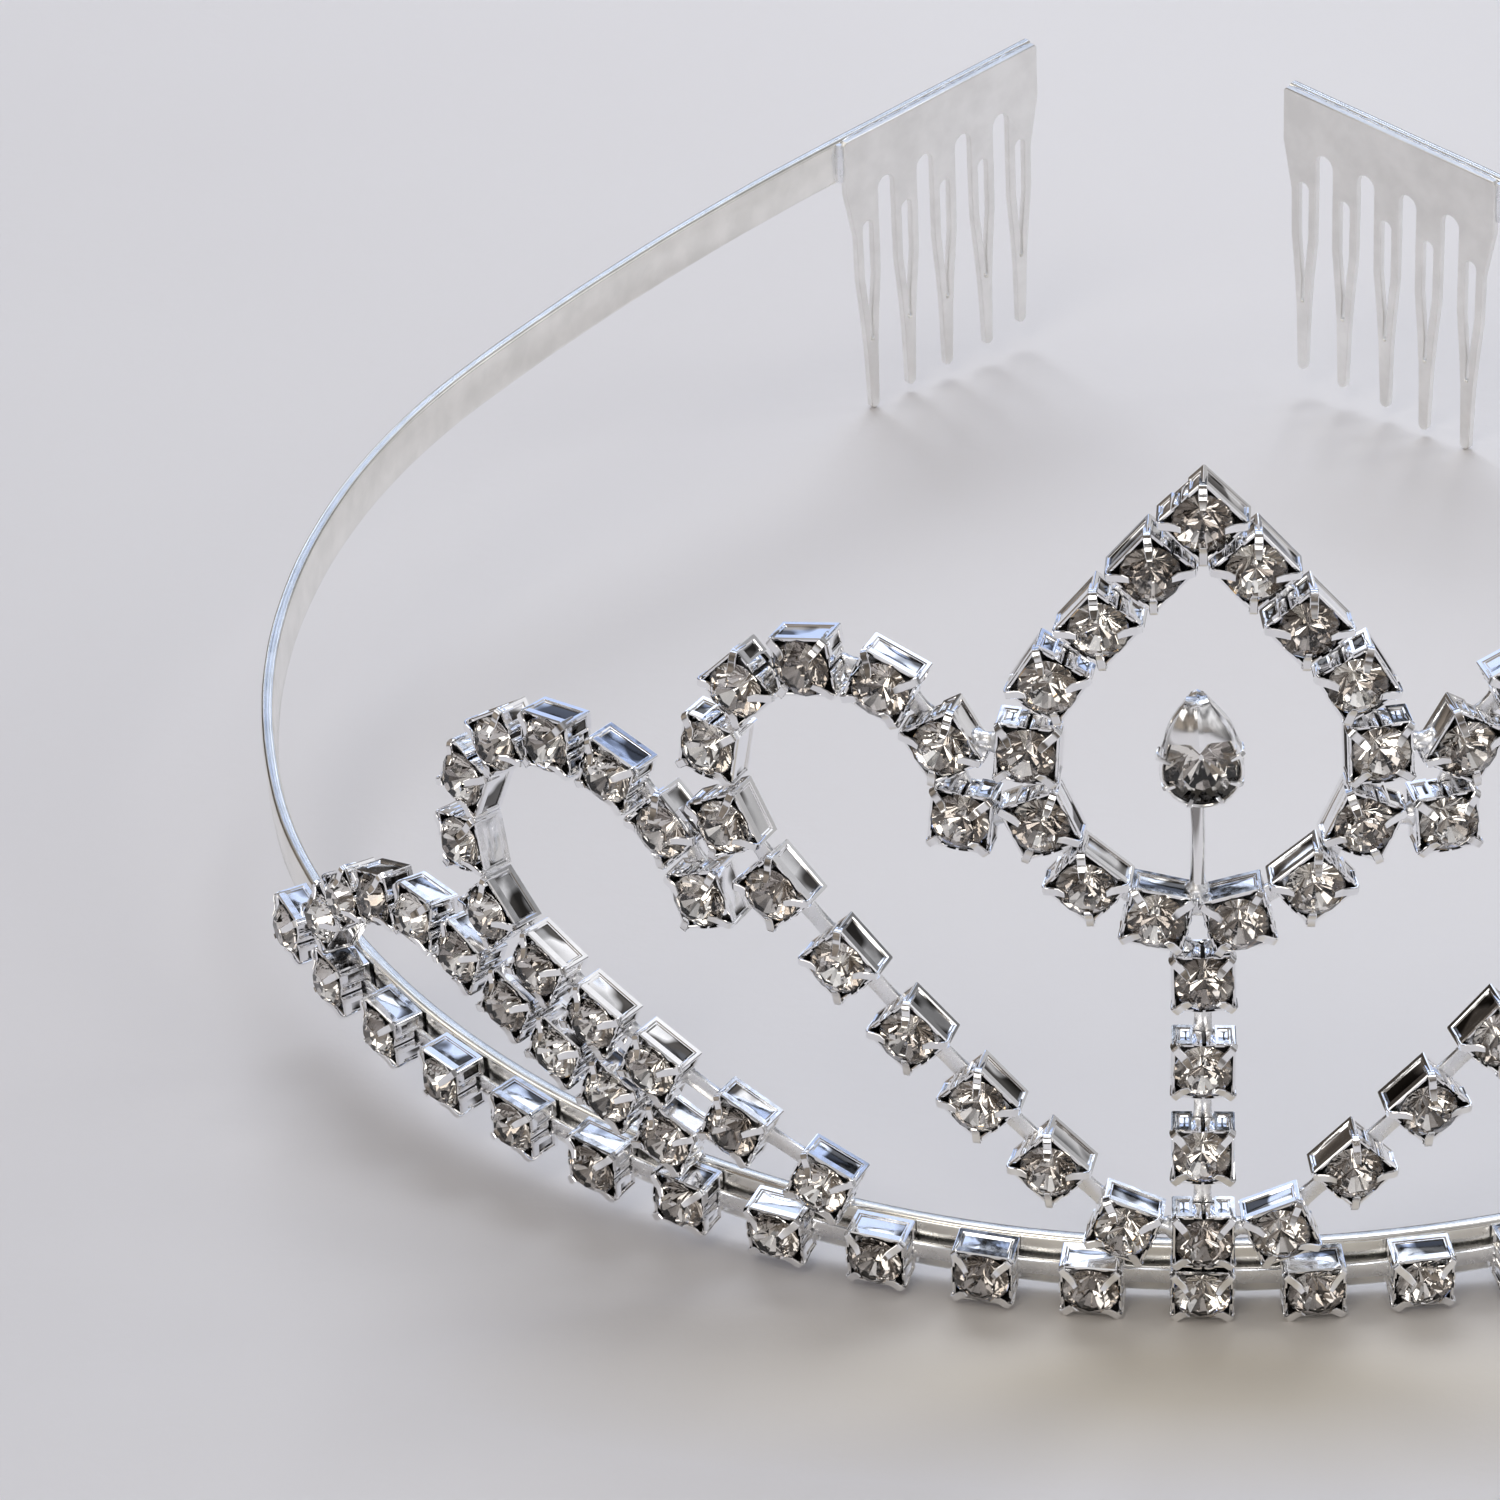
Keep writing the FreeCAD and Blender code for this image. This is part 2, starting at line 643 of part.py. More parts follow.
def build_nodes():
    base = base_places()
    stem = stem_places()
    ring = ring_places()
    band = band_front()
    nodes = {"band_front": [band]}
    rows = {"base_row": chain(base), "stem": chain(stem), "ring": chain(ring, closed=True)}
    scrolls = {}
    for name, scroll in SCROLLS.items():
        for side_name, side in (("left", -1), ("right", 1)):
            scrolls[(name, side_name)] = scroll_places(scroll, side)
            rows[f"{name}_scroll_{side_name}"] = chain(scrolls[(name, side_name)])
    for row_name, row in rows.items():
        for kind, solids in row.items():
            nodes[f"{row_name}_{kind}"] = solids

    crest_joints = [foot_solder(stem[0]), solder_bridge(stem[-1], ring[0]),
                    solder_bridge(stem[-1], ring[-1])]
    for side_name in ("left", "right"):
        ring_side = ring if side_name == "right" else ring[::-1]
        inner = scrolls[("inner", side_name)]
        middle = scrolls[("middle", side_name)]
        for name in SCROLLS:
            crest_joints.append(foot_solder(scrolls[(name, side_name)][0]))
        crest_joints.append(solder_bridge(inner[-1], ring_side[2]))
        crest_joints.append(solder_bridge(inner[-2], ring_side[3]))
        crest_joints.append(solder_bridge(middle[-2], inner[6]))
    nodes["base_solder"] = base_solder(base, band)
    nodes["crest_solder"] = crest_joints

    drop_place = crest_placement(DROP_Q, DROP_HEIGHT, DROP_TURN)
    pin_place = crest_placement(-RING_SEAM_SHIFT, DROP_HEIGHT, 0)
    pin_foot = RING_HEIGHT - RING_RADIUS - DROP_HEIGHT
    stone = moved(drop_stone(), drop_place)
    cup = moved(drop_cup(), drop_place).cut(stone)
    pin = Part.makeCylinder(PIN_RADIUS, -pin_foot - DROP_TALL / 2 + PIN_INTO_DROP,
                            vector(0, pin_foot, CUP_DEPTH / 2), vector(0, 1, 0))
    pin = moved(pin, pin_place).cut(cup)
    for place in (ring[0], ring[-1]):
        pin = pin.cut(moved(BLANK, place))
    pin = largest(pin)
    crest_joints.append(pin_solder(pin_place, pin_foot, pin, [ring[0], ring[-1]]))
    nodes["drop_stone"] = [stone]
    nodes["drop_cup"] = [cup]
    nodes["drop_pin"] = [pin]

    for name, arm in ARMS.items():
        comb_place = comb_placement(arm["radius"])
        arm_parts = {"band_arm": band_arm(arm["radius"]), "comb": moved(comb(), comb_place),
                     "comb_solder": moved(comb_solder(), comb_place)}
        for kind, shape in arm_parts.items():
            settled = moved(shape, bent_in(arm["turn"], arm["lift"]))
            nodes[f"{kind}_{name}"] = [mirror_x(settled) if name == "left" else settled]
    return nodes


def rest_on_table(nodes):
    """Tip the tiara forward and stand it with its box's bottom centre on the origin."""
    everything = Part.makeCompound([solid for solids in nodes.values() for solid in solids])
    everything.rotate(vector(0, 0, 0), X_AXIS, TIP_FORWARD)
    box = everything.optimalBoundingBox(False)
    tip = FreeCAD.Placement(vector(0, 0, 0), FreeCAD.Rotation(X_AXIS, TIP_FORWARD))
    shift = vector(-(box.XMin + box.XMax) / 2, -(box.YMin + box.YMax) / 2, -box.ZMin)
    return FreeCAD.Placement(shift, FreeCAD.Rotation()).multiply(tip)


def main():
    os.makedirs("parts", exist_ok=True)
    nodes = build_nodes()
    rest = rest_on_table(nodes)
    for name, solids in nodes.items():
        shape = Part.makeCompound([moved(solid, rest) for solid in solids])
        shape.exportStep(f"parts/{name}.step")
        print(name, len(solids), round(sum(s.Volume for s in solids), 3),
              all(s.isValid() for s in solids))
    print("rest placement", rest)


main()
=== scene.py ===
import json
from math import asin, atan2, copysign, cos, degrees, exp, pi, radians, sin, tan

import bpy
import numpy as np
from mathutils import Matrix, Vector


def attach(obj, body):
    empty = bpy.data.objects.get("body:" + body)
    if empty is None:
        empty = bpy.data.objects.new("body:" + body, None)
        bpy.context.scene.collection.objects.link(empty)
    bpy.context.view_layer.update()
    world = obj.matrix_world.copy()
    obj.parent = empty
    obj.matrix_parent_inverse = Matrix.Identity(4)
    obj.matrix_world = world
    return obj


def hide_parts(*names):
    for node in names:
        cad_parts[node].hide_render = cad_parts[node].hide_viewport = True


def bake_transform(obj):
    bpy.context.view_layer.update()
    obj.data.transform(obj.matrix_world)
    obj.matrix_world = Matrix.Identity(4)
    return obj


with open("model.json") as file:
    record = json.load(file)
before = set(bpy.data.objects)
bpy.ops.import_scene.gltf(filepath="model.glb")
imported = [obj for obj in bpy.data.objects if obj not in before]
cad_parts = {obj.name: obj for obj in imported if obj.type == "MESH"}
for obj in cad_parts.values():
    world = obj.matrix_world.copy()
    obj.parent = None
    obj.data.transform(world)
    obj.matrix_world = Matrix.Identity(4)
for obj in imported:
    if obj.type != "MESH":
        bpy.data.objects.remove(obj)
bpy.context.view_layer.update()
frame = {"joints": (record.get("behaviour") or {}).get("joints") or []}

# Bridal tiara, drawn in millimetres in the plane of its band: q runs along the band from the
# middle of the front (plus to +X) and h rises square to the band plane from the strip's lower
# edge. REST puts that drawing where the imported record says, in metres.

MM = 0.001

# ---- driving dimensions, the CAD source's except for the width of the comb's teeth and slits ----

STRIP_HEIGHT = 3.3
STRIP_THICKNESS = 0.8
FRONT_RADIUS = 57.0
FRONT_ANGLE = 120.0
EASE_RADIUS = 200.0
EASE_ANGLE = 10.6
STRAIGHT_END = 20.3
FLEX_AT = 63.6
ARMS = {
    "left": {"radius": 58.5, "turn": 1.5, "lift": -0.1},
    "right": {"radius": 51.0, "turn": 5.0, "lift": 1.15},
}
BEND_IN_LENGTH = 12.0   # an arm's turn and lift at its flex are spread over this
ARM_STARTS = 55.0       # behind the last base setting but one

CUP_WIDTH = 3.2
CUP_WALL = 0.2
CUP_FLOOR = 0.25
CUP_DEPTH = 1.9
CUP_BACK = 0.5
HALF = CUP_WIDTH / 2

BASE_PITCH = 5.5
BASE_SIDE_COUNT = 11
BASE_HEIGHT = STRIP_HEIGHT / 2
STEM_FOOT = BASE_HEIGHT + CUP_WIDTH + 0.05
STEM_PITCH = 5.12
STEM_COUNT = 4
CREST_LEAN = 6.7
RING_RADIUS = 8.8
RING_HEIGHT = 32.42
RING_SHOULDER = 40.0
RING_SIDE_COUNT = 7
RING_SEAM_SHIFT = 0.3   # how far to -X the ring's lowest joint is, less and less further up
POINT_INSET = 0.5
POINT_TURN = 135.0
STRAIGHT_ON = (1e6, 0.01)
FOOT_HEIGHT = 5.35
FOOT_TURN = 20.0
SCROLLS = {
    "inner": {"foot": 3.87, "heading": 43.2, "straight": 27.2, "arcs": [(6.9, 230.0)],
              "wide": 5, "wide_pitch": 5.0, "tight": 7, "tight_pitch": 4.29},
    "middle": {"foot": 19.4, "heading": 22.6, "straight": 20.6, "arcs": [(6.8, 131.0), (9.1, 100.0)],
               "wide": 2, "wide_pitch": 5.3, "tight": 10, "tight_pitch": 4.06},
    "outer": {"foot": 28.3, "heading": 20.0, "straight": 14.4, "arcs": [(11.6, -120.0)],
              "wide": 0, "wide_pitch": 0.0, "tight": 8, "tight_pitch": 3.78},
}

DROP_Q = -0.15
DROP_HEIGHT = 33.2
DROP_TURN = 4.0
DROP_TALL = 6.1
DROP_RADIUS = 2.05
DROP_DEPTH = 1.7
PIN_RADIUS = 0.32
PIN_SPARE = 0.3         # the pin starts this far below its foot

COMB_LENGTH = 19.8
COMB_DROP = 22.7
COMB_THICKNESS = 0.5
COMB_PLATE = 4.2
COMB_TEETH = 5
TOOTH_WIDTH = 2.35
TOOTH_TIP_RADIUS = 0.42
SLIT_TOP = 7.1
SLIT_BOTTOM = 17.0
SLIT_RADIUS = 0.5
PRONG_BAR = 0.66        # width of each of a tooth's two bars
SOLDER_FILM = 0.1

# ---- looks ----

STONE_RADIUS = 1.5
STONE_CUT = 8           # facets round a round stone's table
STONE_GIRDLE = 1.92     # height of the girdle above the setting's back
CRYSTAL_IOR = 1.58
LINK_WIDTH = 1.0
LINK_THICKNESS = 0.35

# the studio: colours are linear, places are in metres
CAMERA_PLACE = (-0.00034, -0.2848, 0.14332)
CAMERA_LENS = 120.67
CAMERA_TURN = (-5.43, 26.6, -2.49)      # yaw to +X, pitch down, roll
FLOOR_HALF = 1.6
FLOOR_LOW = (0.81, 0.795, 0.81)
FLOOR_HIGH = (0.84, 0.83, 0.845)
FLOOR_SIDE_SHADE = (0.87, 0.865, 0.865)       # painted shade towards one side, where the light falls off, along the way and over the reach below
SIDE_SHADE_WAY = (0.9, 0.35, 0)
SIDE_SHADE_REACH = (-0.08, 0.03)
FLOOR_WARM_SHADOW = (0.86, 0.80, 0.66)         # painted warm shadow and bounce light, on a flat oval under the middle of the front row
WARM_SQUEEZE = (0.4, 1.6, 1.0)
WARM_AHEAD = 0.008
WARM_SHARE = 0.85
WARM_REACH = (0.003, 0.016)
FLOOR_FAR_SHADE = (0.08, 0.075, 0.075)        # painted light falloff, darkening the floor well away from the tiara
FAR_REACH = (0.32, 0.75)
ROOM_DARK = (0.33, 0.285, 0.235)
ROOM_WALL = (0.15, 0.125, 0.105)
ROOM_LIGHT = (0.50, 0.49, 0.49)
ROOM_CEILING = (0.80, 0.80, 0.82)
ROOM_LIT_FROM = (0.55, 0.25, 0.80)
ROOM_CONTRAST = (0.3, 1.6)
WINDOW_SIDES = (-0.85, 0.75)            # x over y of a direction
WINDOW_ENDS = (0.34, 2.1)               # z over y
WINDOW_CRISP = 40.0
PANE_WIDTH = 0.33
PANE_HEIGHT = 0.30
PANE_BAR = 0.03
BAR_DARK = (0.03, 0.03, 0.03)
SKY_BLUE = (0.50, 0.66, 1.08)
SKY_WHITE = (2.0, 2.15, 2.4)
WORLD_STRENGTH = 0.85
# name, place, size, power, colour, whether it lights the floor, whether metal mirrors it
LIGHTS = (
    ("window", (-0.15, 0.95, 1.05), (0.9, 0.6), 7.0, (0.93, 0.96, 1.0), True, False),
    ("left_box", (-1.1, -0.2, 0.7), (0.7, 0.7), 1.9, (1.0, 0.98, 0.95), True, True),
    ("right_box", (1.0, 0.1, 0.8), (0.3, 0.4), 0.9, (1.0, 0.98, 0.95), True, False),
    ("front_box", (-0.35, -1.0, 1.1), (0.5, 0.5), 2.3, (1.0, 0.93, 0.82), True, True),
    ("front_strip", (-0.2, -1.2, 0.22), (0.9, 0.28), 2.4, (1.0, 0.98, 0.94), False, True),
    ("top_strip", (0.1, 0.25, 1.3), (0.5, 0.4), 2.2, (0.97, 0.98, 1.0), False, True),
)
LIGHTS_AIM = (0, 0, 0.02)

UP = Vector((0, 0, 1))
ALONG = Vector((1, 0, 0))
ACROSS = Vector((0, 1, 0))


def across(angle):
    """Level direction along the band's front, angle round from its middle."""
    return Vector((cos(angle), sin(angle), 0))


def outward(angle):
    """Level direction away from the head."""
    return Vector((sin(angle), -cos(angle), 0))


def from_axes(origin, x_dir, y_dir, z_dir):
    return Matrix(((*x_dir, 0), (*y_dir, 0), (*z_dir, 0), (*origin, 1))).transposed()


def arm_runs(arm):
    """Length of an arm's bend, and of its easing bend."""
    arm_length = arm["radius"] * (radians(FRONT_ANGLE) - FLEX_AT / FRONT_RADIUS)
    return arm_length, EASE_RADIUS * radians(EASE_ANGLE)


def flat_strip(distance, arm):
    """Frame on the +X half's centre line, lower edge, before the arm is turned and lifted."""
    arm_length, ease_length = arm_runs(arm)
    x = y = turned = 0.0
    left = distance
    bends = ((FLEX_AT, FRONT_RADIUS), (arm_length, arm["radius"]), (ease_length, EASE_RADIUS))
    for length, radius in bends:
        angle = turned + min(left, length) / radius
        x += radius * (sin(angle) - sin(turned))
        y -= radius * (cos(angle) - cos(turned))
        left = max(0.0, left - length)
        turned = angle
    x += left * cos(turned)
    y += left * sin(turned)
    return from_axes(Vector((x, y, 0)), across(turned), UP, outward(turned))


def strip_frame(distance):
    """Frame on the strip: x along it towards +X, y up from its lower edge, z away from the head."""
    arm = ARMS["left" if distance < 0 else "right"]
    place = flat_strip(abs(distance), arm)
    share = min(1.0, max(0.0, (abs(distance) - FLEX_AT) / BEND_IN_LENGTH))
    if share > 0:
        share = share * share * (3 - 2 * share)
        pivot = Matrix.Translation(flat_strip(FLEX_AT, arm) @ Vector((0, STRIP_HEIGHT / 2, 0)))
        turn = Matrix.Rotation(radians(arm["turn"]) * share, 4, UP)
        lift = Matrix.Rotation(radians(arm["lift"]) * share, 4, outward(FLEX_AT / FRONT_RADIUS))
        place = pivot @ turn @ lift @ pivot.inverted() @ place
    if distance < 0:
        flip = Matrix.Diagonal((-1, 1, 1, 1))
        place = flip @ place @ flip
    return place


def band_length(arm):
    return FLEX_AT + sum(arm_runs(arm)) + STRAIGHT_END


# the left arm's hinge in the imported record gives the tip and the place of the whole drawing
flex = {joint["name"]: joint for joint in frame["joints"]}["left_arm_flex"]
tip_angle = atan2(-flex["axis"][1], flex["axis"][2])
TIP = Matrix.Rotation(tip_angle, 4, "X")
flex_point = TIP @ (strip_frame(-FLEX_AT) @ Vector((0, STRIP_HEIGHT / 2, 0)))
REST = Matrix.Translation(Vector(flex["pos_m"]) / MM - flex_point) @ TIP


def crest_frame(q, h, turn, lean=CREST_LEAN):
    """Frame on the back of a setting: x along its chain, z out of its face."""
    normal = outward(q / FRONT_RADIUS)
    level = across(q / FRONT_RADIUS)
    slope = radians(lean)
    rise = UP * cos(slope) - normal * sin(slope)
    face = normal * cos(slope) + UP * sin(slope)
    inset = tan(slope) * (h - STRIP_HEIGHT)
    centre = Vector((0, FRONT_RADIUS, 0)) + normal * (FRONT_RADIUS + CUP_BACK - inset) + UP * h
    turn = radians(turn)
    x_dir = level * cos(turn) + rise * sin(turn)
    y_dir = rise * cos(turn) - level * sin(turn)
    return from_axes(centre, x_dir, y_dir, face)


def walk(start, heading, straight, arcs, distance):
    """Point (q, h) and heading after a distance along a straight run followed by arcs."""
    q, h = start
    angle = radians(heading)
    step = min(distance, straight)
    q += step * cos(angle)
    h += step * sin(angle)
    left = distance - step
    for radius, sweep in arcs:
        side = copysign(1.0, sweep)
        step = min(left, radius * radians(abs(sweep)))
        turned = angle + side * step / radius
        q += side * radius * (sin(turned) - sin(angle))
        h -= side * radius * (cos(turned) - cos(angle))
        angle = turned
        left -= step
    return q, h, degrees(angle)


def scroll_frames(scroll, side):
    """Frames of a scroll's settings, from its foot; side is 1 on the +X half, -1 on the other."""
    distances = [scroll["wide_pitch"] * i for i in range(scroll["wide"] + 1)]
    distances += [distances[-1] + scroll["tight_pitch"] * i for i in range(1, scroll["tight"] + 1)]
    frames = []
    for distance in distances:
        q, h, turn = walk((scroll["foot"], FOOT_HEIGHT), scroll["heading"], scroll["straight"],
                          scroll["arcs"], distance)
        if distance == 0:
            turn = FOOT_TURN
        frames.append(crest_frame(side * q, h, side * turn))
    return frames


def ring_frames():
    """Frames round the pointed ring, from its lowest point up the +X side and down the other."""
    arc = RING_RADIUS * radians(90 + RING_SHOULDER)
    side_line = RING_RADIUS / tan(radians(RING_SHOULDER))
    pitch = (arc + side_line) / (RING_SIDE_COUNT + 0.5)
    arcs = [(RING_RADIUS, 90 + RING_SHOULDER), STRAIGHT_ON]
    sides = [walk((0, RING_HEIGHT - RING_RADIUS), 0, 0, arcs, pitch * (i + 0.5))
             for i in range(RING_SIDE_COUNT)]
    point_height = RING_HEIGHT + RING_RADIUS / sin(radians(RING_SHOULDER)) - POINT_INSET
    shifts = [RING_SEAM_SHIFT / 2 ** i for i in range(RING_SIDE_COUNT)]
    rising = [crest_frame(q - shift, h, turn) for (q, h, turn), shift in zip(sides, shifts)]
    falling = [crest_frame(-q - shift, h, -turn) for (q, h, turn), shift in zip(sides, shifts)]
    return rising + [crest_frame(0, point_height, POINT_TURN)] + falling[::-1]


BASE = [crest_frame(i * BASE_PITCH, BASE_HEIGHT, 0, lean=0)
        for i in range(-BASE_SIDE_COUNT, BASE_SIDE_COUNT + 1)]
STEM = [crest_frame(0, STEM_FOOT + STEM_PITCH * i, 90) for i in range(STEM_COUNT)]
RING = ring_frames()
SCROLL = {(name, side_name): scroll_frames(scroll, side) for name, scroll in SCROLLS.items()
          for side_name, side in (("left", -1), ("right", 1))}


# ---- meshes ----

def linked(name, data):
    """Object with this mesh, curve, light or camera, put in the scene."""
    made = bpy.data.objects.new(name, data)
    bpy.context.scene.collection.objects.link(made)
    return made


def stands_for(made, body, node):
    """Says which body a piece rides on and hides the CAD node it replaces."""
    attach(made, body)
    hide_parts(node)


def moved(points, matrix):
    return np.array(points) @ np.array(matrix.to_3x3()).T + np.array(matrix.translation)


class Shell:
    """Vertices, faces and finish numbers of one mesh in millimetres."""

    def __init__(self):
        self.points = []
        self.faces = []
        self.finishes = []

    def add(self, points, faces):
        start = len(self.points)
        self.points += [tuple(p) for p in points]
        self.faces += [tuple(start + i for i in face) for face in faces]
        self.finishes += [0] * len(faces)

    def loft(self, loops):
        """Skin through loops of equal length, capped at both ends."""
        count = len(loops[0])
        last = (len(loops) - 1) * count
        faces = []
        for low in range(0, last, count):
            for i in range(count):
                j = (i + 1) % count
                faces.append((low + i, low + j, low + count + j, low + count + i))
        faces.append(tuple(reversed(range(count))))
        faces.append(tuple(range(last, last + count)))
        self.add([p for loop in loops for p in loop], faces)

    def place(self, other, matrix):
        """Adds a copy of another shell, moved; a mirrored copy has its faces turned over."""
        start = len(self.points)
        order = -1 if matrix.determinant() < 0 else 1
        self.points += [tuple(p) for p in moved(other.points, matrix)]
        self.faces += [tuple(start + i for i in face[::order]) for face in other.faces]
        self.finishes += other.finishes

    def piece(self, name, materials, smooth=None):
        """Makes the object, in metres and at rest. Edges sharper than smooth degrees stay sharp."""
        mesh = bpy.data.meshes.new(name)
        mesh.from_pydata(moved(self.points, Matrix.Scale(MM, 4) @ REST).tolist(), [], self.faces)
        for material in materials:
            mesh.materials.append(material)
        mesh.polygons.foreach_set("material_index", self.finishes)
        mesh.update()
        if smooth is not None:
            mesh.polygons.foreach_set("use_smooth", [True] * len(mesh.polygons))
            mesh.set_sharp_from_angle(angle=radians(smooth))
        return linked(name, mesh)


def round_loop(centre, x_dir, y_dir, x_radius, y_radius, count, wobble=0.0, phase=0.0):
    """Points of an ellipse, made a little uneven by wobble."""
    loop = []
    for i in range(count):
        angle = 2 * pi * i / count
        grow = 1 + wobble * sin(3 * angle + phase) + 0.6 * wobble * sin(5 * angle - 2 * phase)
        loop.append(centre + x_dir * (x_radius * grow * cos(angle))
                    + y_dir * (y_radius * grow * sin(angle)))
    return loop


def rounded_rectangle(width, height, radius, steps=2):
    """Points of a rectangle with rounded corners, counterclockwise, about the origin."""
    points = []
    corners = ((1, 1, 0), (-1, 1, 90), (-1, -1, 180), (1, -1, 270))
    for sx, sy, start in corners:
        for k in range(steps + 1):
            angle = radians(start + 90 * k / steps)
            points.append((sx * (width / 2 - radius) + radius * cos(angle),
                           sy * (height / 2 - radius) + radius * sin(angle)))
    return points


def drawn(centre, x_dir, y_dir, shape):
    """Outline of (x, y) points, set in the plane of two directions."""
    return [centre + x_dir * x + y_dir * y for x, y in shape]


def folded_prong(shell, foot, out, path, section, swing=0.0, stretch=1.0):
    """Prong along a path of (distance out, height); section(k) is its width, thickness and rounding."""
    side = Vector((-out.y, out.x, 0))
    loops = []
    for k, (distance, height) in enumerate(path):
        before = Vector(path[max(k - 1, 0)])
        after = Vector(path[min(k + 1, len(path) - 1)])
        along = (after - before).normalized()
        normal = out * along.y - UP * along.x
        centre = foot + out * distance * stretch + UP * height + side * (swing * max(0, k - 3))
        loops.append(drawn(centre, side, normal, rounded_rectangle(*section(k), 1)))
    shell.loft(loops)


# ---- the square setting ----

PANEL_STEP = 0.055      # each of the two steps down into a stamped panel
RIM_ROUND = 0.05
PANEL_LOW = 0.3
PANEL_HIGH = 1.5
PANEL_FRAME = 0.2       # from the wall's end to its panel
NOTCH = 0.56            # half width of the notch where a link enters
CORNER = 0.05
CORNER_DROP = 0.04
# finishes of a setting's inside, duller plating darkened further with painted shade, and of its sunk
# panels; the rest has finish 0
INSIDE = 1
PANEL = 2


def spread(low, high):
    """Stations across a stamped panel: two steps down at each end and a few between."""
    steps = (0.0, 0.03, 0.09, 0.12)
    middle = [low + (high - low) * share for share in (0.22, 0.36, 0.5, 0.64, 0.78)]
    return [low + d for d in steps] + middle + [high - d for d in steps[::-1]]


def stepped(value, low, high):
    """Depth of the two-step recess at a place between low and high."""
    inside = min(value - low, high - value)
    if inside < 0.02:
        return 0.0
    if inside < 0.10:
        return PANEL_STEP
    return 2 * PANEL_STEP


def arch(value, low, high):
    """1 in the middle between low and high, 0 at both ends."""
    return max(0.0, 1 - (2 * (value - low) / (high - low) - 1) ** 2)


def wall_loop(u, low=0.0, high=0.0, crown=0.0, drop=0.0):
    """Loop at distance u along the +y wall, mitred at 45 degrees, with a panel from low to high."""
    deepest = stepped(u, low, high) if high > low else 0.0
    points = [(-RIM_ROUND, 0.0), (0.0, RIM_ROUND)]
    for h in spread(PANEL_LOW, PANEL_HIGH):
        depth = min(deepest, stepped(h, PANEL_LOW, PANEL_HIGH))
        if depth > PANEL_STEP:
            depth -= crown * arch(u, low, high) * arch(h, PANEL_LOW, PANEL_HIGH)
        points.append((-depth, h))
    points += [(0.0, CUP_DEPTH - 1.6 * RIM_ROUND), (-RIM_ROUND, CUP_DEPTH),
               (-CUP_WALL + RIM_ROUND, CUP_DEPTH), (-CUP_WALL, CUP_DEPTH - RIM_ROUND), (-CUP_WALL, 0.1),
               (-CUP_WALL + RIM_ROUND, 0.0)]
    return [Vector((u * (HALF + o - drop) / HALF, HALF + o - drop, v)) for o, v in points]


def panelled_wall(shell, start, end, crown):
    """Wall on the +y side from start to end with one stamped panel."""
    loops = []
    if start <= -HALF:
        loops += [wall_loop(start, drop=CORNER_DROP), wall_loop(start + CORNER)]
        low = start + PANEL_FRAME
    else:
        loops.append(wall_loop(start))
        low = start + PANEL_FRAME / 2
    high = end - PANEL_FRAME
    loops += [wall_loop(u, low, high, crown) for u in spread(low, high)]
    loops += [wall_loop(end - CORNER), wall_loop(end, drop=CORNER_DROP)]
    shell.loft([loop[::-1] for loop in loops])


TAB_LOW = 0.68
TAB_EDGE = 0.62
TAB_RISE = 0.1
TAB_ROUND = 0.12
# distance along the wall and bulge of the rolled tab
TAB_COLUMNS = ((0.07, -0.09), (0.11, 0.0), (0.2, 0.06), (0.34, 0.08), (0.48, 0.05), (TAB_EDGE, -0.02))


def rolled_tab(shell):
    """Half of the rolled tab where a link enters, on the +y side at +x."""
    back = HALF - CUP_WALL * 0.5
    loops = []
    for u, bulge in TAB_COLUMNS:
        top = CUP_DEPTH + TAB_RISE * (1 - (u / TAB_EDGE) ** 2)
        front = HALF + bulge
        lip = HALF + bulge * 0.4 - 0.02
        section = ((back, TAB_LOW + 0.03), (back, top - TAB_ROUND), (back + 0.05, top), (lip, top),
                   (front, top - TAB_ROUND), (front, TAB_LOW + TAB_ROUND), (lip, TAB_LOW),
                   (back + 0.02, TAB_LOW))
        loops.append([Vector((u, y, z)) for y, z in section[::-1]])
    shell.loft(loops)


PRONG_WIDTH = 0.42
PRONG_THICKNESS = 0.12
PRONG_REACH = 0.98
# points (distance from the axis, height) along the middle of a folded prong, up to its tip
PRONG_PATH = ((2.08, 1.1), (2.13, 1.6), (2.14, 1.88), (2.08, 2.06), (1.9, 2.16), (1.62, 2.2), (1.3, 2.3))
PRONG_TIP = 2.56
FLOOR_RINGS = ((0.55, 0.07), (0.75, 0.02), (1.4, 0.0), (1.48, 0.04), (1.48, 0.2), (1.38, CUP_FLOOR))


def prong(shell, reach, twist, width):
    """Prong at the setting's +x +y corner."""
    path = [*PRONG_PATH, (reach, PRONG_TIP)]

    def section(k):
        if k < len(path) - 1:
            return width, PRONG_THICKNESS, 0.035
        return width * 0.72, PRONG_THICKNESS * 0.6, 0.035 * 0.72

    folded_prong(shell, Vector(), across(pi / 4), path, section, twist)


def floor_plate(shell):
    loops = []
    for half, z in FLOOR_RINGS:
        outline = rounded_rectangle(2 * half, 2 * half, 0.12 + 0.1 * (1.5 - half))
        loops.append([Vector((x, y, z)) for x, y in outline])
    shell.loft(loops)


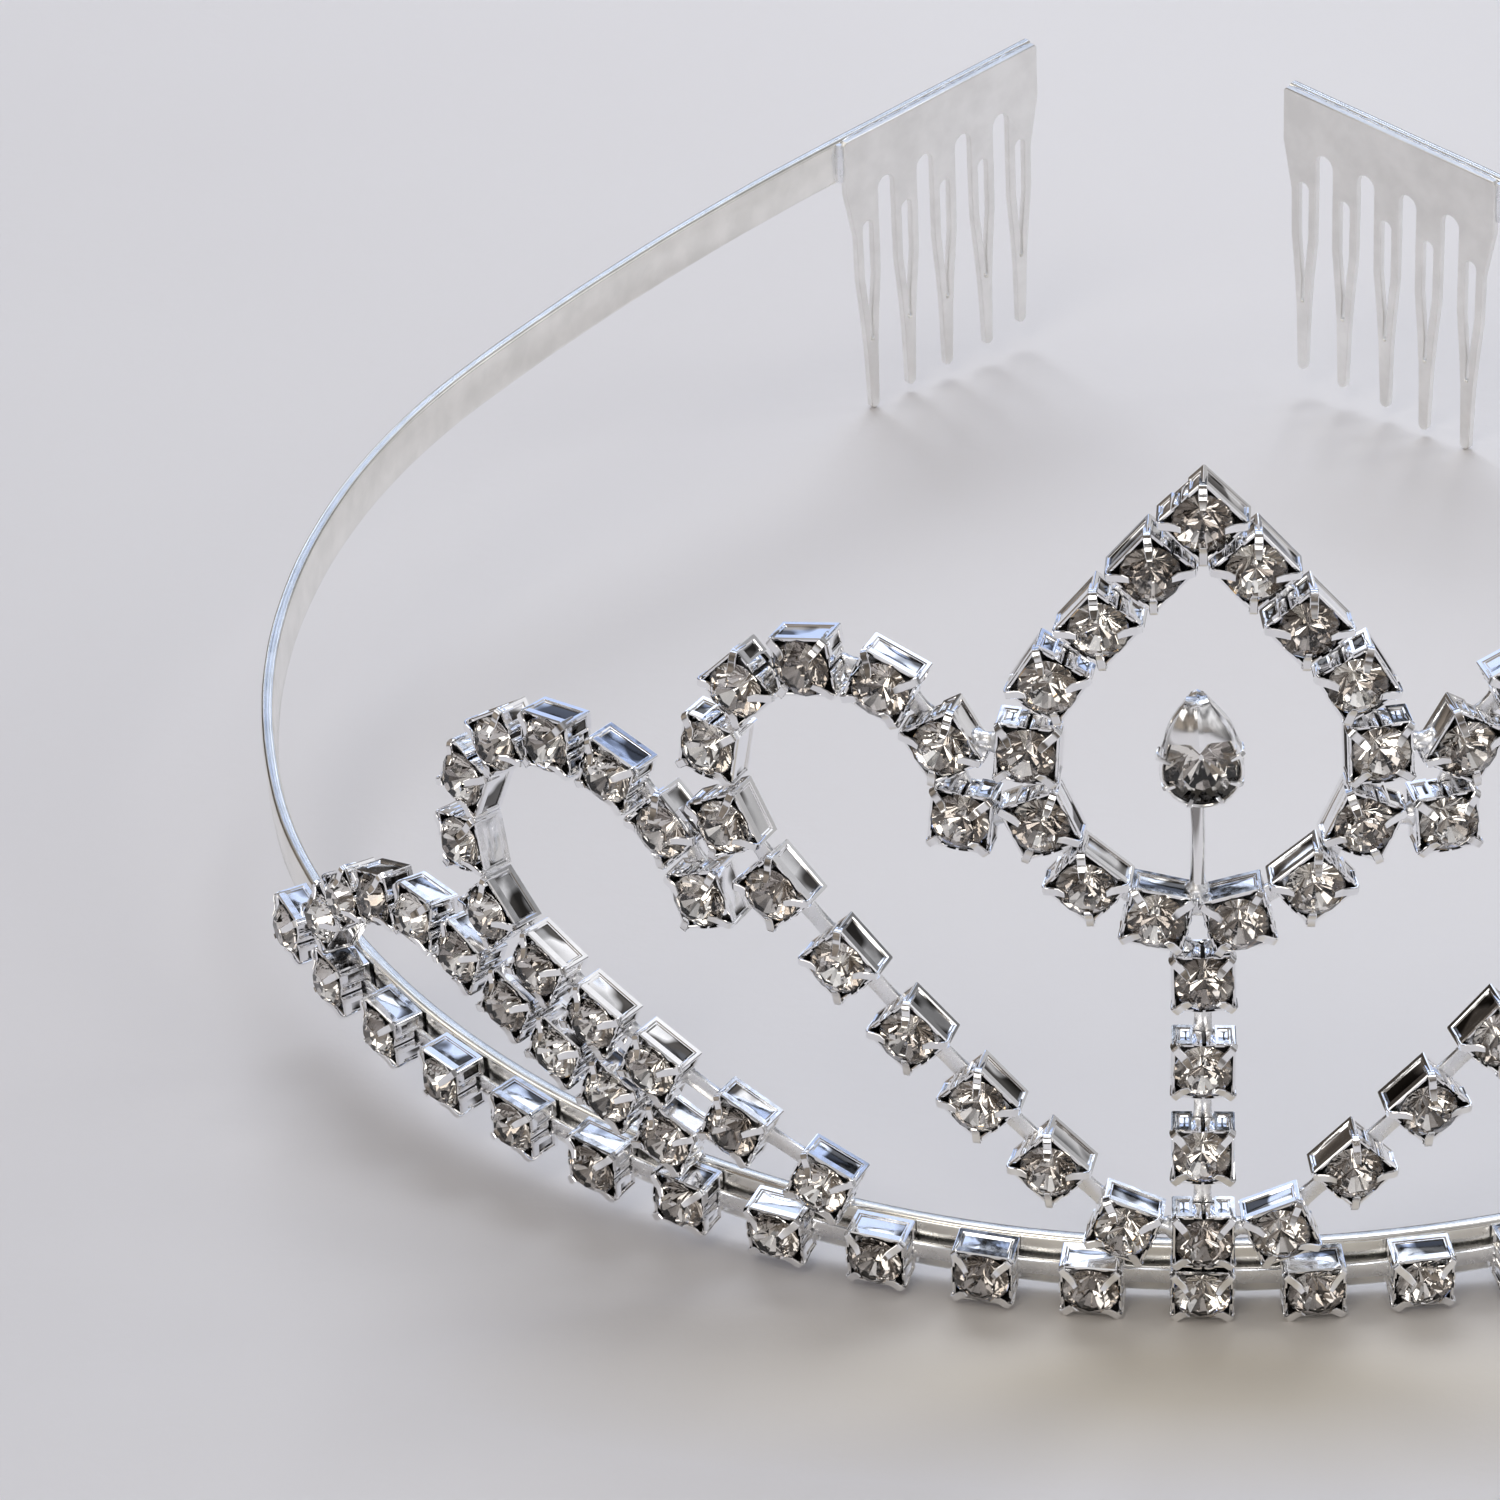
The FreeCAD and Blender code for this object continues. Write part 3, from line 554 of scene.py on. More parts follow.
def setting(seed):
    """One stamped setting: floor, two panelled walls, two notched walls, four prongs."""
    rng = np.random.default_rng(seed)
    shell = Shell()
    floor_plate(shell)
    for turns in range(4):
        wall = Shell()
        crown = float(rng.choice([-1.0, 1.0]) * rng.uniform(0.015, 0.04))
        if turns % 2:
            panelled_wall(wall, NOTCH, HALF, crown)
            rolled_tab(wall)
            wall.place(wall, Matrix.Diagonal((-1, 1, 1, 1)))
        else:
            panelled_wall(wall, -HALF, HALF, crown)
        shell.place(wall, Matrix.Rotation(pi / 2 * turns, 4, "Z"))
    for number, face in enumerate(shell.faces):
        centre = sum((Vector(shell.points[i]) for i in face), Vector()) / len(face)
        outer = max(abs(centre.x), abs(centre.y))
        if outer < HALF - CUP_WALL + 0.01 and 0.15 < centre.z < CUP_DEPTH - 0.1:
            shell.finishes[number] = INSIDE
        elif outer < HALF - 1.1 * PANEL_STEP and PANEL_LOW < centre.z < PANEL_HIGH:
            shell.finishes[number] = PANEL
    for turns in range(4):
        finger = Shell()
        prong(finger, reach=PRONG_REACH + 0.16 * (rng.random() - 0.5), twist=0.03 * (rng.random() - 0.5),
              width=PRONG_WIDTH * (0.94 + 0.12 * rng.random()))
        shell.place(finger, Matrix.Rotation(pi / 2 * turns + 0.03 * (rng.random() - 0.5), 4, "Z"))
    return shell


# ---- cut stones ----

# finishes of a stone's facets, and how often each is drawn for its foil and its edge; the bright foil is a
# painted glint, the dark foil a painted dark reflection, the near-black edge painted shade from the
# setting, and the amber and blue edges painted coloured glints
GLASS_FACE, FOIL, GLINT_FOIL, DARK_REFLECTION_FOIL, SHADED_EDGE, AMBER_SPARK, BLUE_SPARK = range(7)
FOIL_SHARES = {FOIL: 0.40, GLINT_FOIL: 0.34, DARK_REFLECTION_FOIL: 0.26}
EDGE_SHARES = {SHADED_EDGE: 0.92, AMBER_SPARK: 0.04, BLUE_SPARK: 0.04}
GIRDLE_THICKNESS = 0.07


def brilliant(outline, count, girdle, crown_height, pavilion_depth, table, seed, foil_edge=0.9):
    """Brilliant cut: outline(step, scale) gives points of the girdle at 2 * count steps."""
    rng = np.random.default_rng(seed)
    steps = 2 * count
    upper_girdle = girdle + GIRDLE_THICKNESS

    def ring(scale, height, stride=1):
        return [Vector((*outline(step, scale), height)) for step in range(0, steps, stride)]

    points = ring(table, upper_girdle + crown_height, 2)
    points += ring(1.0, upper_girdle)
    points += ring(1.0, girdle)
    points += ring(foil_edge, girdle - pavilion_depth * (1 - foil_edge))
    points.append(Vector((*outline(0, 0.0), girdle - pavilion_depth)))
    upper = count
    lower = upper + steps
    foil_ring = lower + steps
    culet = foil_ring + steps

    crown = [tuple(range(count))]
    edge = []
    foil = []
    for i in range(count):
        here = 2 * i
        before = (here - 1) % steps
        crown.append((i, upper + before, upper + here, upper + here + 1))
        crown.append((i, upper + here + 1, (i + 1) % count))
        foil.append((culet, foil_ring + here + 1, foil_ring + here, foil_ring + before))
    for k in range(steps):
        after = (k + 1) % steps
        crown.append((lower + k, lower + after, upper + after, upper + k))
        edge.append((foil_ring + k, foil_ring + after, lower + after, lower + k))
    foils = rng.choice(list(FOIL_SHARES), len(foil), p=list(FOIL_SHARES.values()))
    edges = rng.choice(list(EDGE_SHARES), len(edge), p=list(EDGE_SHARES.values()))
    shell = Shell()
    shell.add(points, crown + edge + foil)
    shell.finishes = [GLASS_FACE] * len(crown) + edges.tolist() + foils.tolist()
    return shell


def round_outline(step, scale):
    angle = pi * step / STONE_CUT
    return (STONE_RADIUS * scale * cos(angle), STONE_RADIUS * scale * sin(angle))


ROUND_STONES = [brilliant(round_outline, STONE_CUT, STONE_GIRDLE, 0.58, 1.3, 0.54, 100 + number)
                for number in range(10)]


# ---- links ----

# distance from a setting's middle, and the link's width and thickness there, as factors
LINK_STATIONS = ((0.85, 1.0, 0.9), (1.42, 1.0, 1.0), (1.6, 1.02, 1.05), (1.72, 0.94, 0.95))
LINK_MIDDLE = (0.9, 0.9)


def link(shell, first, second):
    """Flat bar between the floors of two settings, drawn in a little where it leaves each."""
    low = Vector((0, 0, CUP_FLOOR + LINK_THICKNESS / 2))
    start = first @ low
    end = second @ low
    along = (end - start).normalized()
    face = (first.to_3x3() @ UP + second.to_3x3() @ UP).normalized()
    side = face.cross(along).normalized()
    face = along.cross(side)
    length = (end - start).length
    near = [station for station in LINK_STATIONS if station[0] < length / 2]
    far = [(length - distance, wide, thick) for distance, wide, thick in near[::-1]]
    loops = []
    for distance, wide, thick in [*near, (length / 2, *LINK_MIDDLE), *far]:
        shape = rounded_rectangle(LINK_WIDTH * wide, LINK_THICKNESS * thick, 0.07)
        loops.append(drawn(start + along * distance, side, face, shape))
    shell.loft(loops)


# ---- materials ----

def new_material(name):
    material = bpy.data.materials.new(name)
    material.use_nodes = True
    tree = material.node_tree
    return material, tree, tree.nodes["Principled BSDF"]


def node(tree, kind, inputs, output, **options):
    """One output of a new node, whose inputs are set to values or linked to other outputs."""
    made = tree.nodes.new("ShaderNode" + kind)
    for option, value in options.items():
        setattr(made, option, value)
    for key, value in inputs.items():
        if isinstance(value, bpy.types.NodeSocket):
            tree.links.new(value, made.inputs[key])
        else:
            made.inputs[key].default_value = value
    return made.outputs[output]


def noise(tree, scale, detail, rough=0.55, stretch=None):
    source = node(tree, "TexCoord", {}, "Object")
    if stretch:
        source = node(tree, "Mapping", {"Vector": source, "Scale": stretch}, "Vector")
    inputs = {"Vector": source, "Scale": scale, "Detail": detail, "Roughness": rough}
    return node(tree, "TexNoise", inputs, "Fac")


def ranged(tree, source, low, high, at=(0.35, 0.65)):
    """Number that goes from low to high as the source goes over the stretch at."""
    inputs = {"Value": source, "From Min": at[0], "From Max": at[1], "To Min": low, "To Max": high}
    return node(tree, "MapRange", inputs, "Result")


def coloured(tree, source, stops):
    """Colour along a ramp of (position, colour) stops."""
    colour = node(tree, "ValToRGB", {"Fac": source}, "Color")
    elements = colour.node.color_ramp.elements
    while len(elements) < len(stops):
        elements.new(0.5)
    for element, (position, tone) in zip(elements, stops):
        element.position = position
        element.color = (*tone, 1)
    return colour


def two_tone(tree, source, first, second, at=(0.35, 0.65)):
    return coloured(tree, source, ((at[0], first), (at[1], second)))


def bumped(tree, shader, source, strength, distance):
    inputs = {"Height": source, "Strength": strength, "Distance": distance}
    tree.links.new(node(tree, "Bump", inputs, "Normal"), shader.inputs["Normal"])


def plated(name, tones, rough, bump_depth, bump_scale=1600, cloud_scale=420, cloud_detail=4.0,
           at=(0.35, 0.65), streaks=None):
    """Bright plated metal with soft cloudiness, polish marks and a slightly uneven surface."""
    material, tree, shader = new_material(name)
    shader.inputs["Metallic"].default_value = 1.0
    cloud = noise(tree, cloud_scale, cloud_detail, stretch=streaks)
    tree.links.new(two_tone(tree, cloud, *tones, at), shader.inputs["Base Color"])
    marks = noise(tree, bump_scale, 5.0, 0.6, streaks)
    tree.links.new(ranged(tree, marks, *rough), shader.inputs["Roughness"])
    waves = noise(tree, bump_scale * 0.6, 2.0, 0.5, streaks)
    bumped(tree, shader, waves, 0.5, bump_depth)
    return material


def polished(name, socket, tones, rough, cloud_scale, fine_scale):
    """Clear glass or mirror foil, by the socket that is set to 1, a little cloudy."""
    material, tree, shader = new_material(name)
    shader.inputs[socket].default_value = 1.0
    cloud = noise(tree, cloud_scale, 2.0)
    tree.links.new(two_tone(tree, cloud, *tones), shader.inputs["Base Color"])
    fine = noise(tree, fine_scale, 3.0)
    tree.links.new(ranged(tree, fine, *rough), shader.inputs["Roughness"])
    return material


# patchy plates carry dark clouds, which stand for the dark half of a room that they mirror
# the inside plate's dark tones are painted shade inside the setting, over duller plating
INNER = plated("setting_inside_painted_shade", ((0.10, 0.095, 0.09), (0.26, 0.25, 0.24)), (0.2, 0.4), 0.00002)
PANEL_PLATE = plated("setting_panel", ((0.09, 0.085, 0.08), (0.95, 0.95, 0.96)), (0.04, 0.12), 0.00001,
                     cloud_detail=1.0, at=(0.42, 0.5))
SETTING = plated("setting_plate", ((0.90, 0.90, 0.915), (0.98, 0.98, 0.985)), (0.04, 0.13), 0.00001)
DROP_PLATE = plated("drop_plate", ((0.5, 0.49, 0.48), (0.99, 0.99, 0.995)), (0.08, 0.2), 0.00003, 700,
                    700, 1.0, (0.36, 0.46))
LINK = plated("link_plate", ((0.82, 0.83, 0.85), (0.95, 0.95, 0.96)), (0.16, 0.34), 0.000016)
SOLDER = plated("solder_silver", ((0.80, 0.82, 0.86), (0.95, 0.96, 0.98)), (0.14, 0.38), 0.00005, 900)
BAND = plated("band_plate", ((0.86, 0.85, 0.81), (0.97, 0.955, 0.915)), (0.14, 0.24), 0.00001, 800)
COMB = plated("comb_plate", ((0.85, 0.84, 0.815), (0.93, 0.92, 0.895)), (0.28, 0.34), 0.000003, 300)
PIN = plated("pin_wire", ((0.34, 0.33, 0.32), (0.98, 0.98, 0.985)), (0.05, 0.15), 0.00001, 300,
             1500, 1.0, (0.42, 0.54), streaks=(1, 1, 0.06))

CRYSTAL = [polished("crystal_crown", "Transmission Weight", ((0.97, 0.965, 0.955), (1.0, 0.995, 0.985)),
                    (0.0, 0.025), 300, 2600)]
CRYSTAL[0].node_tree.nodes["Principled BSDF"].inputs["IOR"].default_value = CRYSTAL_IOR
# foil tones per facet, mirrored through the glass: bright ones are painted glints, dark ones painted dark
# reflections, the near-black edge painted shade, amber and blue painted coloured glints
for name, *tones in (("crystal_foil", (0.72, 0.69, 0.67), (0.84, 0.82, 0.80)),
                     ("crystal_foil_bright", (0.93, 0.915, 0.89), (0.99, 0.98, 0.96)),
                     ("crystal_foil_dark", (0.30, 0.275, 0.26), (0.42, 0.39, 0.37)),
                     ("crystal_bare_edge", (0.05, 0.045, 0.045), (0.12, 0.11, 0.11)),
                     ("crystal_amber", (0.95, 0.60, 0.28), (0.99, 0.80, 0.50)),
                     ("crystal_blue", (0.40, 0.52, 0.97), (0.66, 0.78, 0.99))):
    CRYSTAL.append(polished(name, "Metallic", tones, (0.01, 0.06), 900, 2200))


# ---- chains ----

def jitter(rng, turn, shift, tilt):
    """Small turn, shift and tilt of a piece set by hand."""
    values = rng.random(6) * 2 - 1
    spin = Matrix.Rotation(radians(turn) * values[0], 4, "Z")
    lean = (Matrix.Rotation(radians(tilt) * values[1], 4, "X")
            @ Matrix.Rotation(radians(tilt) * values[2], 4, "Y"))
    return Matrix.Translation(Vector(values[3:6].tolist()) * shift) @ lean @ spin


SETTINGS = [setting(seed) for seed in range(6)]


def make_chain(row, frames, seed, closed=False):
    """Settings, stones and links along a row of frames, joined end to end where it is closed."""
    rng = np.random.default_rng(seed)
    cups = Shell()
    stones = Shell()
    bars = Shell()
    pairs = list(zip(frames, frames[1:]))
    if closed:
        pairs.append((frames[-1], frames[0]))
    for place in frames:
        shaken = place @ jitter(rng, 1.6, 0.02, 1.6)
        cups.place(SETTINGS[int(rng.integers(len(SETTINGS)))],
                   shaken @ Matrix.Rotation(pi * int(rng.integers(2)), 4, "Z"))
        spun = Matrix.Rotation(2 * pi * rng.random(), 4, "Z")
        tilt = jitter(rng, 0, 0.015, 1.6)
        stones.place(ROUND_STONES[int(rng.integers(len(ROUND_STONES)))], shaken @ tilt @ spun)
    for first, second in pairs:
        link(bars, first, second)
    made = cups.piece(row + "_settings", [SETTING, INNER, PANEL_PLATE], 32)
    stands_for(made, "crest", row + "_cups")
    stands_for(stones.piece(row + "_crystals", CRYSTAL), "crest", row + "_stones")
    stands_for(bars.piece(row + "_bars", [LINK], 40), "crest", row + "_links")


make_chain("base_row", BASE, 11)
make_chain("stem", STEM, 12)
make_chain("ring", RING, 13, closed=True)
for number, ((scroll_name, side_name), frames) in enumerate(SCROLL.items()):
    make_chain(f"{scroll_name}_scroll_{side_name}", frames, 20 + number)


# ---- band ----

def strip_piece(name, start, end):
    """Rounded strip along the band between two distances, its section a little uneven."""
    count = max(2, int(abs(end - start) / 1.2))
    loops = []
    for k in range(count + 1):
        distance = start + (end - start) * k / count
        place = strip_frame(distance)
        thick = STRIP_THICKNESS * (1 + 0.015 * sin(distance * 0.9) + 0.01 * sin(distance * 2.3 + 1))
        tall = STRIP_HEIGHT * (1 + 0.004 * sin(distance * 0.7))
        shape = rounded_rectangle(thick, tall, 0.3, 4)
        loops.append([place @ Vector((0, STRIP_HEIGHT / 2 + y, x)) for x, y in shape])
    if end < start:
        loops = [loop[::-1] for loop in loops]
    shell = Shell()
    shell.loft(loops)
    return shell.piece(name, [BAND], 40)


stands_for(strip_piece("band_front_strip", -ARM_STARTS, ARM_STARTS), "crest", "band_front")
for side_name, side in (("left", -1), ("right", 1)):
    arm = strip_piece("band_arm_strip_" + side_name, side * ARM_STARTS, side * band_length(ARMS[side_name]))
    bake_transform(arm)
    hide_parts("band_arm_" + side_name)


# ---- combs ----

def comb_frame(side):
    """Frame of a comb: x back along the strip from its outer end, y up from 0 at the top edge."""
    place = strip_frame(side * band_length(ARMS["left" if side < 0 else "right"]))
    corner = Vector((0, STRIP_HEIGHT, -STRIP_THICKNESS / 2 - SOLDER_FILM))
    return place @ from_axes(corner, ALONG * -side, ACROSS, -UP)


def arc_points(centre, radius, start, end, count):
    """Points of an arc from one angle to another, in degrees."""
    points = []
    for k in range(count + 1):
        angle = radians(start + (end - start) * k / count)
        points.append((centre[0] + radius * cos(angle), centre[1] + radius * sin(angle)))
    return points


# a tooth's heights and half widths down to its tip; the widths are factors of half a tooth
TOOTH_SIDES = ((-SLIT_TOP - 0.9, 1.0), (-SLIT_TOP - 4.5, 0.97), (-SLIT_BOTTOM + 4.2, 0.86),
               (-SLIT_BOTTOM + 1.9, 0.66))
TOOTH_FOOT = (-SLIT_BOTTOM - 0.6, TOOTH_TIP_RADIUS + 0.16)
COMB_CORNER = 0.25


def comb_outlines():
    """Outer outline and slits of the stamped comb: each tooth is a narrow hairpin."""
    pitch = COMB_LENGTH / COMB_TEETH
    half = TOOTH_WIDTH / 2
    gap_radius = (pitch - TOOTH_WIDTH) / 2
    sides = [(y, half * share) for y, share in TOOTH_SIDES] + [TOOTH_FOOT]
    outline = [(COMB_CORNER, 0.0), (COMB_LENGTH - COMB_CORNER, 0.0), (COMB_LENGTH, -COMB_CORNER),
               (COMB_LENGTH, -COMB_PLATE)]
    for k in reversed(range(COMB_TEETH)):
        x = pitch * (k + 0.5)
        outline += [(x + wide, y) for y, wide in sides]
        outline += arc_points((x, -COMB_DROP + TOOTH_TIP_RADIUS), TOOTH_TIP_RADIUS, 0, -180, 8)
        outline += [(x - wide, y) for y, wide in sides[::-1]]
        if k > 0:
            outline += arc_points((x - half - gap_radius, -COMB_PLATE - gap_radius), gap_radius, 0, 180, 8)
    outline += [(0.0, -COMB_PLATE), (0.0, -COMB_CORNER)]
    slits = []
    slit_end = SLIT_RADIUS * 0.35
    for k in range(COMB_TEETH):
        x = pitch * (k + 0.5)
        slit = arc_points((x, -SLIT_TOP - SLIT_RADIUS), SLIT_RADIUS, 0, 180, 10)
        slit += [(x - (wide - PRONG_BAR), y) for y, wide in sides[1:4]]
        slit += arc_points((x, -SLIT_BOTTOM + slit_end), slit_end, 180, 360, 6)
        slit += [(x + (wide - PRONG_BAR), y) for y, wide in sides[3:0:-1]]
        slits.append(slit)
    return outline, slits


def comb_piece(name, side):
    """Stamped plate with rounded edges, cut from a flat curve with holes."""
    bevel = 0.09
    pitch = COMB_LENGTH / COMB_TEETH
    curve = bpy.data.curves.new(name, "CURVE")
    curve.dimensions = "2D"
    curve.fill_mode = "BOTH"
    curve.extrude = COMB_THICKNESS / 2 - bevel
    curve.bevel_depth = bevel
    curve.bevel_resolution = 2
    curve.offset = -bevel
    outline, slits = comb_outlines()
    for loop in [outline] + slits:
        spline = curve.splines.new("POLY")
        spline.points.add(len(loop) - 1)
        for point, (x, y) in zip(spline.points, loop):
            point.co = (x, y, 0, 1)
        spline.use_cyclic_u = True
    holder = linked(name + "_drawing", curve)
    flat = bpy.data.meshes.new_from_object(holder)
    bpy.data.objects.remove(holder)
    place = comb_frame(side)
    points = []
    for vertex in flat.vertices:
        x, y, z = vertex.co
        # towards its tip each tooth is bent a little, and differently from its neighbours
        deep = max(0.0, -y - COMB_PLATE) / (COMB_DROP - COMB_PLATE)
        tooth = min(COMB_TEETH - 1, max(0, int(x / pitch)))
        bend = deep ** 2 * 0.18 * sin(2.1 * tooth + side)
        swing = deep ** 2 * 0.1 * sin(3.7 * tooth + 1 + side)
        points.append(place @ Vector((x + swing, y, z + COMB_THICKNESS / 2 + bend)))
    faces = [tuple(polygon.vertices)[::side] for polygon in flat.polygons]
    shell = Shell()
    shell.add(points, faces)
    bpy.data.meshes.remove(flat)
    return shell.piece(name, [COMB], 35)


def bead(shell, points, radii, side, face, seed):
    """Uneven bead of solder through a line of points."""
    rng = np.random.default_rng(seed)
    loops = []
    for point, radius in zip(points, radii):
        size = radius * (1 + 0.14 * (rng.random() - 0.5))
        loops.append(round_loop(point, side, face, size, size * 0.9, 14, 0.05, 6.3 * rng.random()))
    shell.loft(loops)


SEAM_END = 0.3          # how far from the comb's ends the beads along its edges start
END_BEAD_RADIUS = 0.34

for side_name, side in (("left", -1), ("right", 1)):
    comb = comb_piece("comb_plate_" + side_name, side)
    stands_for(comb, side_name + "_arm", "comb_" + side_name)
    place = comb_frame(side)
    facing_in = place.to_3x3() @ UP
    seam = Shell()
    rng = np.random.default_rng(40 + side)
    stops = np.linspace(SEAM_END + 0.1, COMB_LENGTH - SEAM_END - 0.1, 40)
    ends = np.minimum(1, np.minimum(stops - SEAM_END, COMB_LENGTH - SEAM_END - stops) / 0.6)
    for height in (-0.12, -STRIP_HEIGHT + 0.02):
        points = [place @ Vector((x, height + 0.03 * sin(5 * x), -SOLDER_FILM * 0.6)) for x in stops]
        radii = [(0.12 + 0.05 * rng.random()) * max(0.25, end) for end in ends]
        bead(seam, points, radii, UP, facing_in, 50 + side)
    # the upright bead across the joint, at the comb's inner end
    points = [place @ Vector((COMB_LENGTH + 0.1, height, 0.06))
              for height in np.linspace(-0.15, -STRIP_HEIGHT + 0.15, 9)]
    radii = [END_BEAD_RADIUS * (1 - 0.3 * abs(k / 4 - 1) ** 3) for k in range(9)]
    bead(seam, points, radii, place.to_3x3() @ ALONG, facing_in, 54 + side)
    film = seam.piece("comb_seam_" + side_name, [SOLDER], 60)
    stands_for(film, side_name + "_arm", "comb_solder_" + side_name)


# ---- pear drop ----

POINT_FALL = 0.3        # how much of the height past the soft point's start is kept
FLANK_BULGE = 0.24
PEAR_GAP = 0.03         # between the pear stone and its wall
# the pear setting's rings: growth from the pear outline, and height
PEAR_RINGS = ((-0.7, 0.06), (-0.25, 0.0), (-0.05, 0.05), (0.0, 0.14), (0.0, 0.34), (-0.06, 0.4),
              (-0.06, 1.24), (0.0, 1.3), (0.02, 1.58), (-0.03, 1.72), (-0.12, 1.74), (-0.18, 1.68),
              (-0.19, 0.6), (-0.5, 0.4), (-1.2, 0.34))
PEAR_PRONG_PATH = ((2.02, 1.0), (2.08, 1.5), (2.04, 1.8), (1.9, 1.95), (1.68, 1.99), (1.44, 2.02))
# angle about the round base's middle, and how far the prong's path is stretched outwards
PEAR_PRONGS = ((-158, 1.0), (-112, 1.0), (-62, 1.0), (-22, 1.0), (25, 1.12), (155, 1.12))
# rows of the hood over the drop's point: distance from the point, height, and fall at its sides
HOOD = ((0.0, 1.0, 0.05), (0.06, 1.4, 0.1), (0.2, 1.7, 0.2), (0.5, 2.0, 0.34), (0.85, 2.26, 0.54),
        (1.3, 2.4, 0.62), (1.8, 2.44, 0.64))
HOOD_LENGTH = HOOD[-1][0]
HOOD_TOP = DROP_TALL / 2 - 0.3
HOOD_THICKNESS = 0.12
HOOD_HALF_COUNT = 8


def pear_point(step, steps, grow, soft=0.5):
    """Point of the pear outline: a round base and two full flanks to a soft point at +y."""
    radius = DROP_RADIUS + grow
    centre = -DROP_TALL / 2 + DROP_RADIUS
    point = DROP_TALL / 2 - centre + grow * DROP_TALL / (2 * DROP_RADIUS)
    shoulder = asin(radius / point)
    flank = point * cos(shoulder)
    total = radius * (pi + 2 * shoulder) + 2 * flank
    # measured from the point, counterclockwise
    along = (step % steps) / steps * total
    side = -1 if along < total / 2 else 1
    share = min(along, total - along) / flank
    if share < 1:
        x = side * share * radius * cos(shoulder) * (1 + FLANK_BULGE * sin(pi * share))
        y = centre + point + share * (radius * sin(shoulder) - point)
    else:
        angle = pi - shoulder + (along - flank) / radius
        x = radius * cos(angle)
        y = centre + radius * sin(angle)
    blunt = centre + point - soft
    if y > blunt:
        y = blunt + (y - blunt) * POINT_FALL
    return x, y


def hood(shell):
    """Hood folded over the point, crowned, its lower edge hollowed on both sides of a tongue."""
    shares = [k / HOOD_HALF_COUNT - 1 for k in range(2 * HOOD_HALF_COUNT + 1)]
    loops = []
    for down, level, crown in HOOD:
        wide = 0.5 + down * 0.72 - 0.07 * down ** 2
        over = []
        under = []
        for share in shares:
            tongue = 0.3 * share ** 2 + 0.5 * exp(-30 * share ** 2)
            y = HOOD_TOP - down - (down / HOOD_LENGTH) ** 3 * tongue
            z = level - crown * abs(share) ** 2.2 + 0.14 * exp(-60 * share ** 2)
            over.append(Vector((share * wide, y, z)))
            under.append(Vector((share * wide * 0.95, y - 0.04, z - HOOD_THICKNESS)))
        loops.append(over + under[::-1])
    shell.loft(loops)


def pear_prong(k):
    """Width, thickness and rounding of a pear prong at a point of its path."""
    return 0.36 - 0.03 * k, 0.15, 0.05


def pear_setting():
    """Pear-shaped setting with its folded prongs and hood."""
    shell = Shell()
    steps = 56
    shell.loft([[Vector((*pear_point(step, steps, grow), z)) for step in range(steps)]
                for grow, z in PEAR_RINGS])
    middle = Vector((0, -DROP_TALL / 2 + DROP_RADIUS, 0))
    for angle, stretch in PEAR_PRONGS:
        folded_prong(shell, middle, across(radians(angle)), PEAR_PRONG_PATH, pear_prong, 0.0, stretch)
    hood(shell)
    return shell


def pear_stone():
    """Pear-shaped cut stone, whose culet is under its middle."""
    count = 12
    middle = Vector((0, -0.55))

    def outline(step, scale):
        x, y = pear_point(step, 2 * count, -CUP_WALL - PEAR_GAP, 0.4)
        return (middle.x + (x - middle.x) * scale, middle.y + (y - middle.y) * scale)

    return brilliant(outline, count, DROP_DEPTH - 0.1, 0.6, 1.35, 0.52, 147, 0.94)


DROP = crest_frame(DROP_Q, DROP_HEIGHT, DROP_TURN)
cup = Shell()
cup.place(pear_setting(), DROP)
stands_for(cup.piece("drop_setting", [DROP_PLATE], 34), "crest", "drop_cup")
stone = Shell()
stone.place(pear_stone(), DROP)
stands_for(stone.piece("drop_crystal", CRYSTAL), "crest", "drop_stone")

# the pin stands in the ring's lowest joint and is widest at its foot and under the drop
PIN_PLACE = crest_frame(-RING_SEAM_SHIFT, DROP_HEIGHT, 0)
PIN_X, PIN_Y, PIN_Z = (PIN_PLACE.to_3x3() @ axis for axis in (ALONG, ACROSS, UP))
PIN_FOOT = RING_HEIGHT - RING_RADIUS - DROP_HEIGHT + HALF
PIN_LENGTH = -DROP_TALL / 2 + 0.35 - PIN_FOOT + PIN_SPARE
loops = []
for k in range(17):
    share = k / 16
    centre = PIN_PLACE @ Vector((0.05 * sin(3 * share), PIN_FOOT - PIN_SPARE + PIN_LENGTH * share,
                                 CUP_DEPTH / 2 - 0.06 * sin(pi * share)))
    radius = PIN_RADIUS * (1.15 + 0.3 * exp(-14 * share) + 0.25 * exp(16 * (share - 1)))
    loops.append(round_loop(centre, PIN_Z, PIN_X, radius, radius, 20))
pin = Shell()
pin.loft(loops)
stands_for(pin.piece("drop_wire", [PIN], 50), "crest", "drop_pin")


# ---- solder ----

BRIDGE_LEVEL = CUP_DEPTH * 0.42
BRIDGE_END = 0.85
BRIDGE_WAIST = 0.5
BRIDGE_INSET = HALF * 0.9
# height over the pin's foot and radius of the bead round it
PIN_BEAD = ((-0.35, 0.5), (-0.1, 0.62), (0.08, 0.6), (0.2, 0.46), (0.36, 0.36), (0.6, 0.325))
# depth behind a setting's back, half length and half height of the pad that joins it to the strip
PAD_LOOPS = ((-CUP_BACK + 0.35, 1.25, 1.2), (-CUP_BACK + 0.42, 1.05, 1.15), (0.02, 1.15, 1.25))


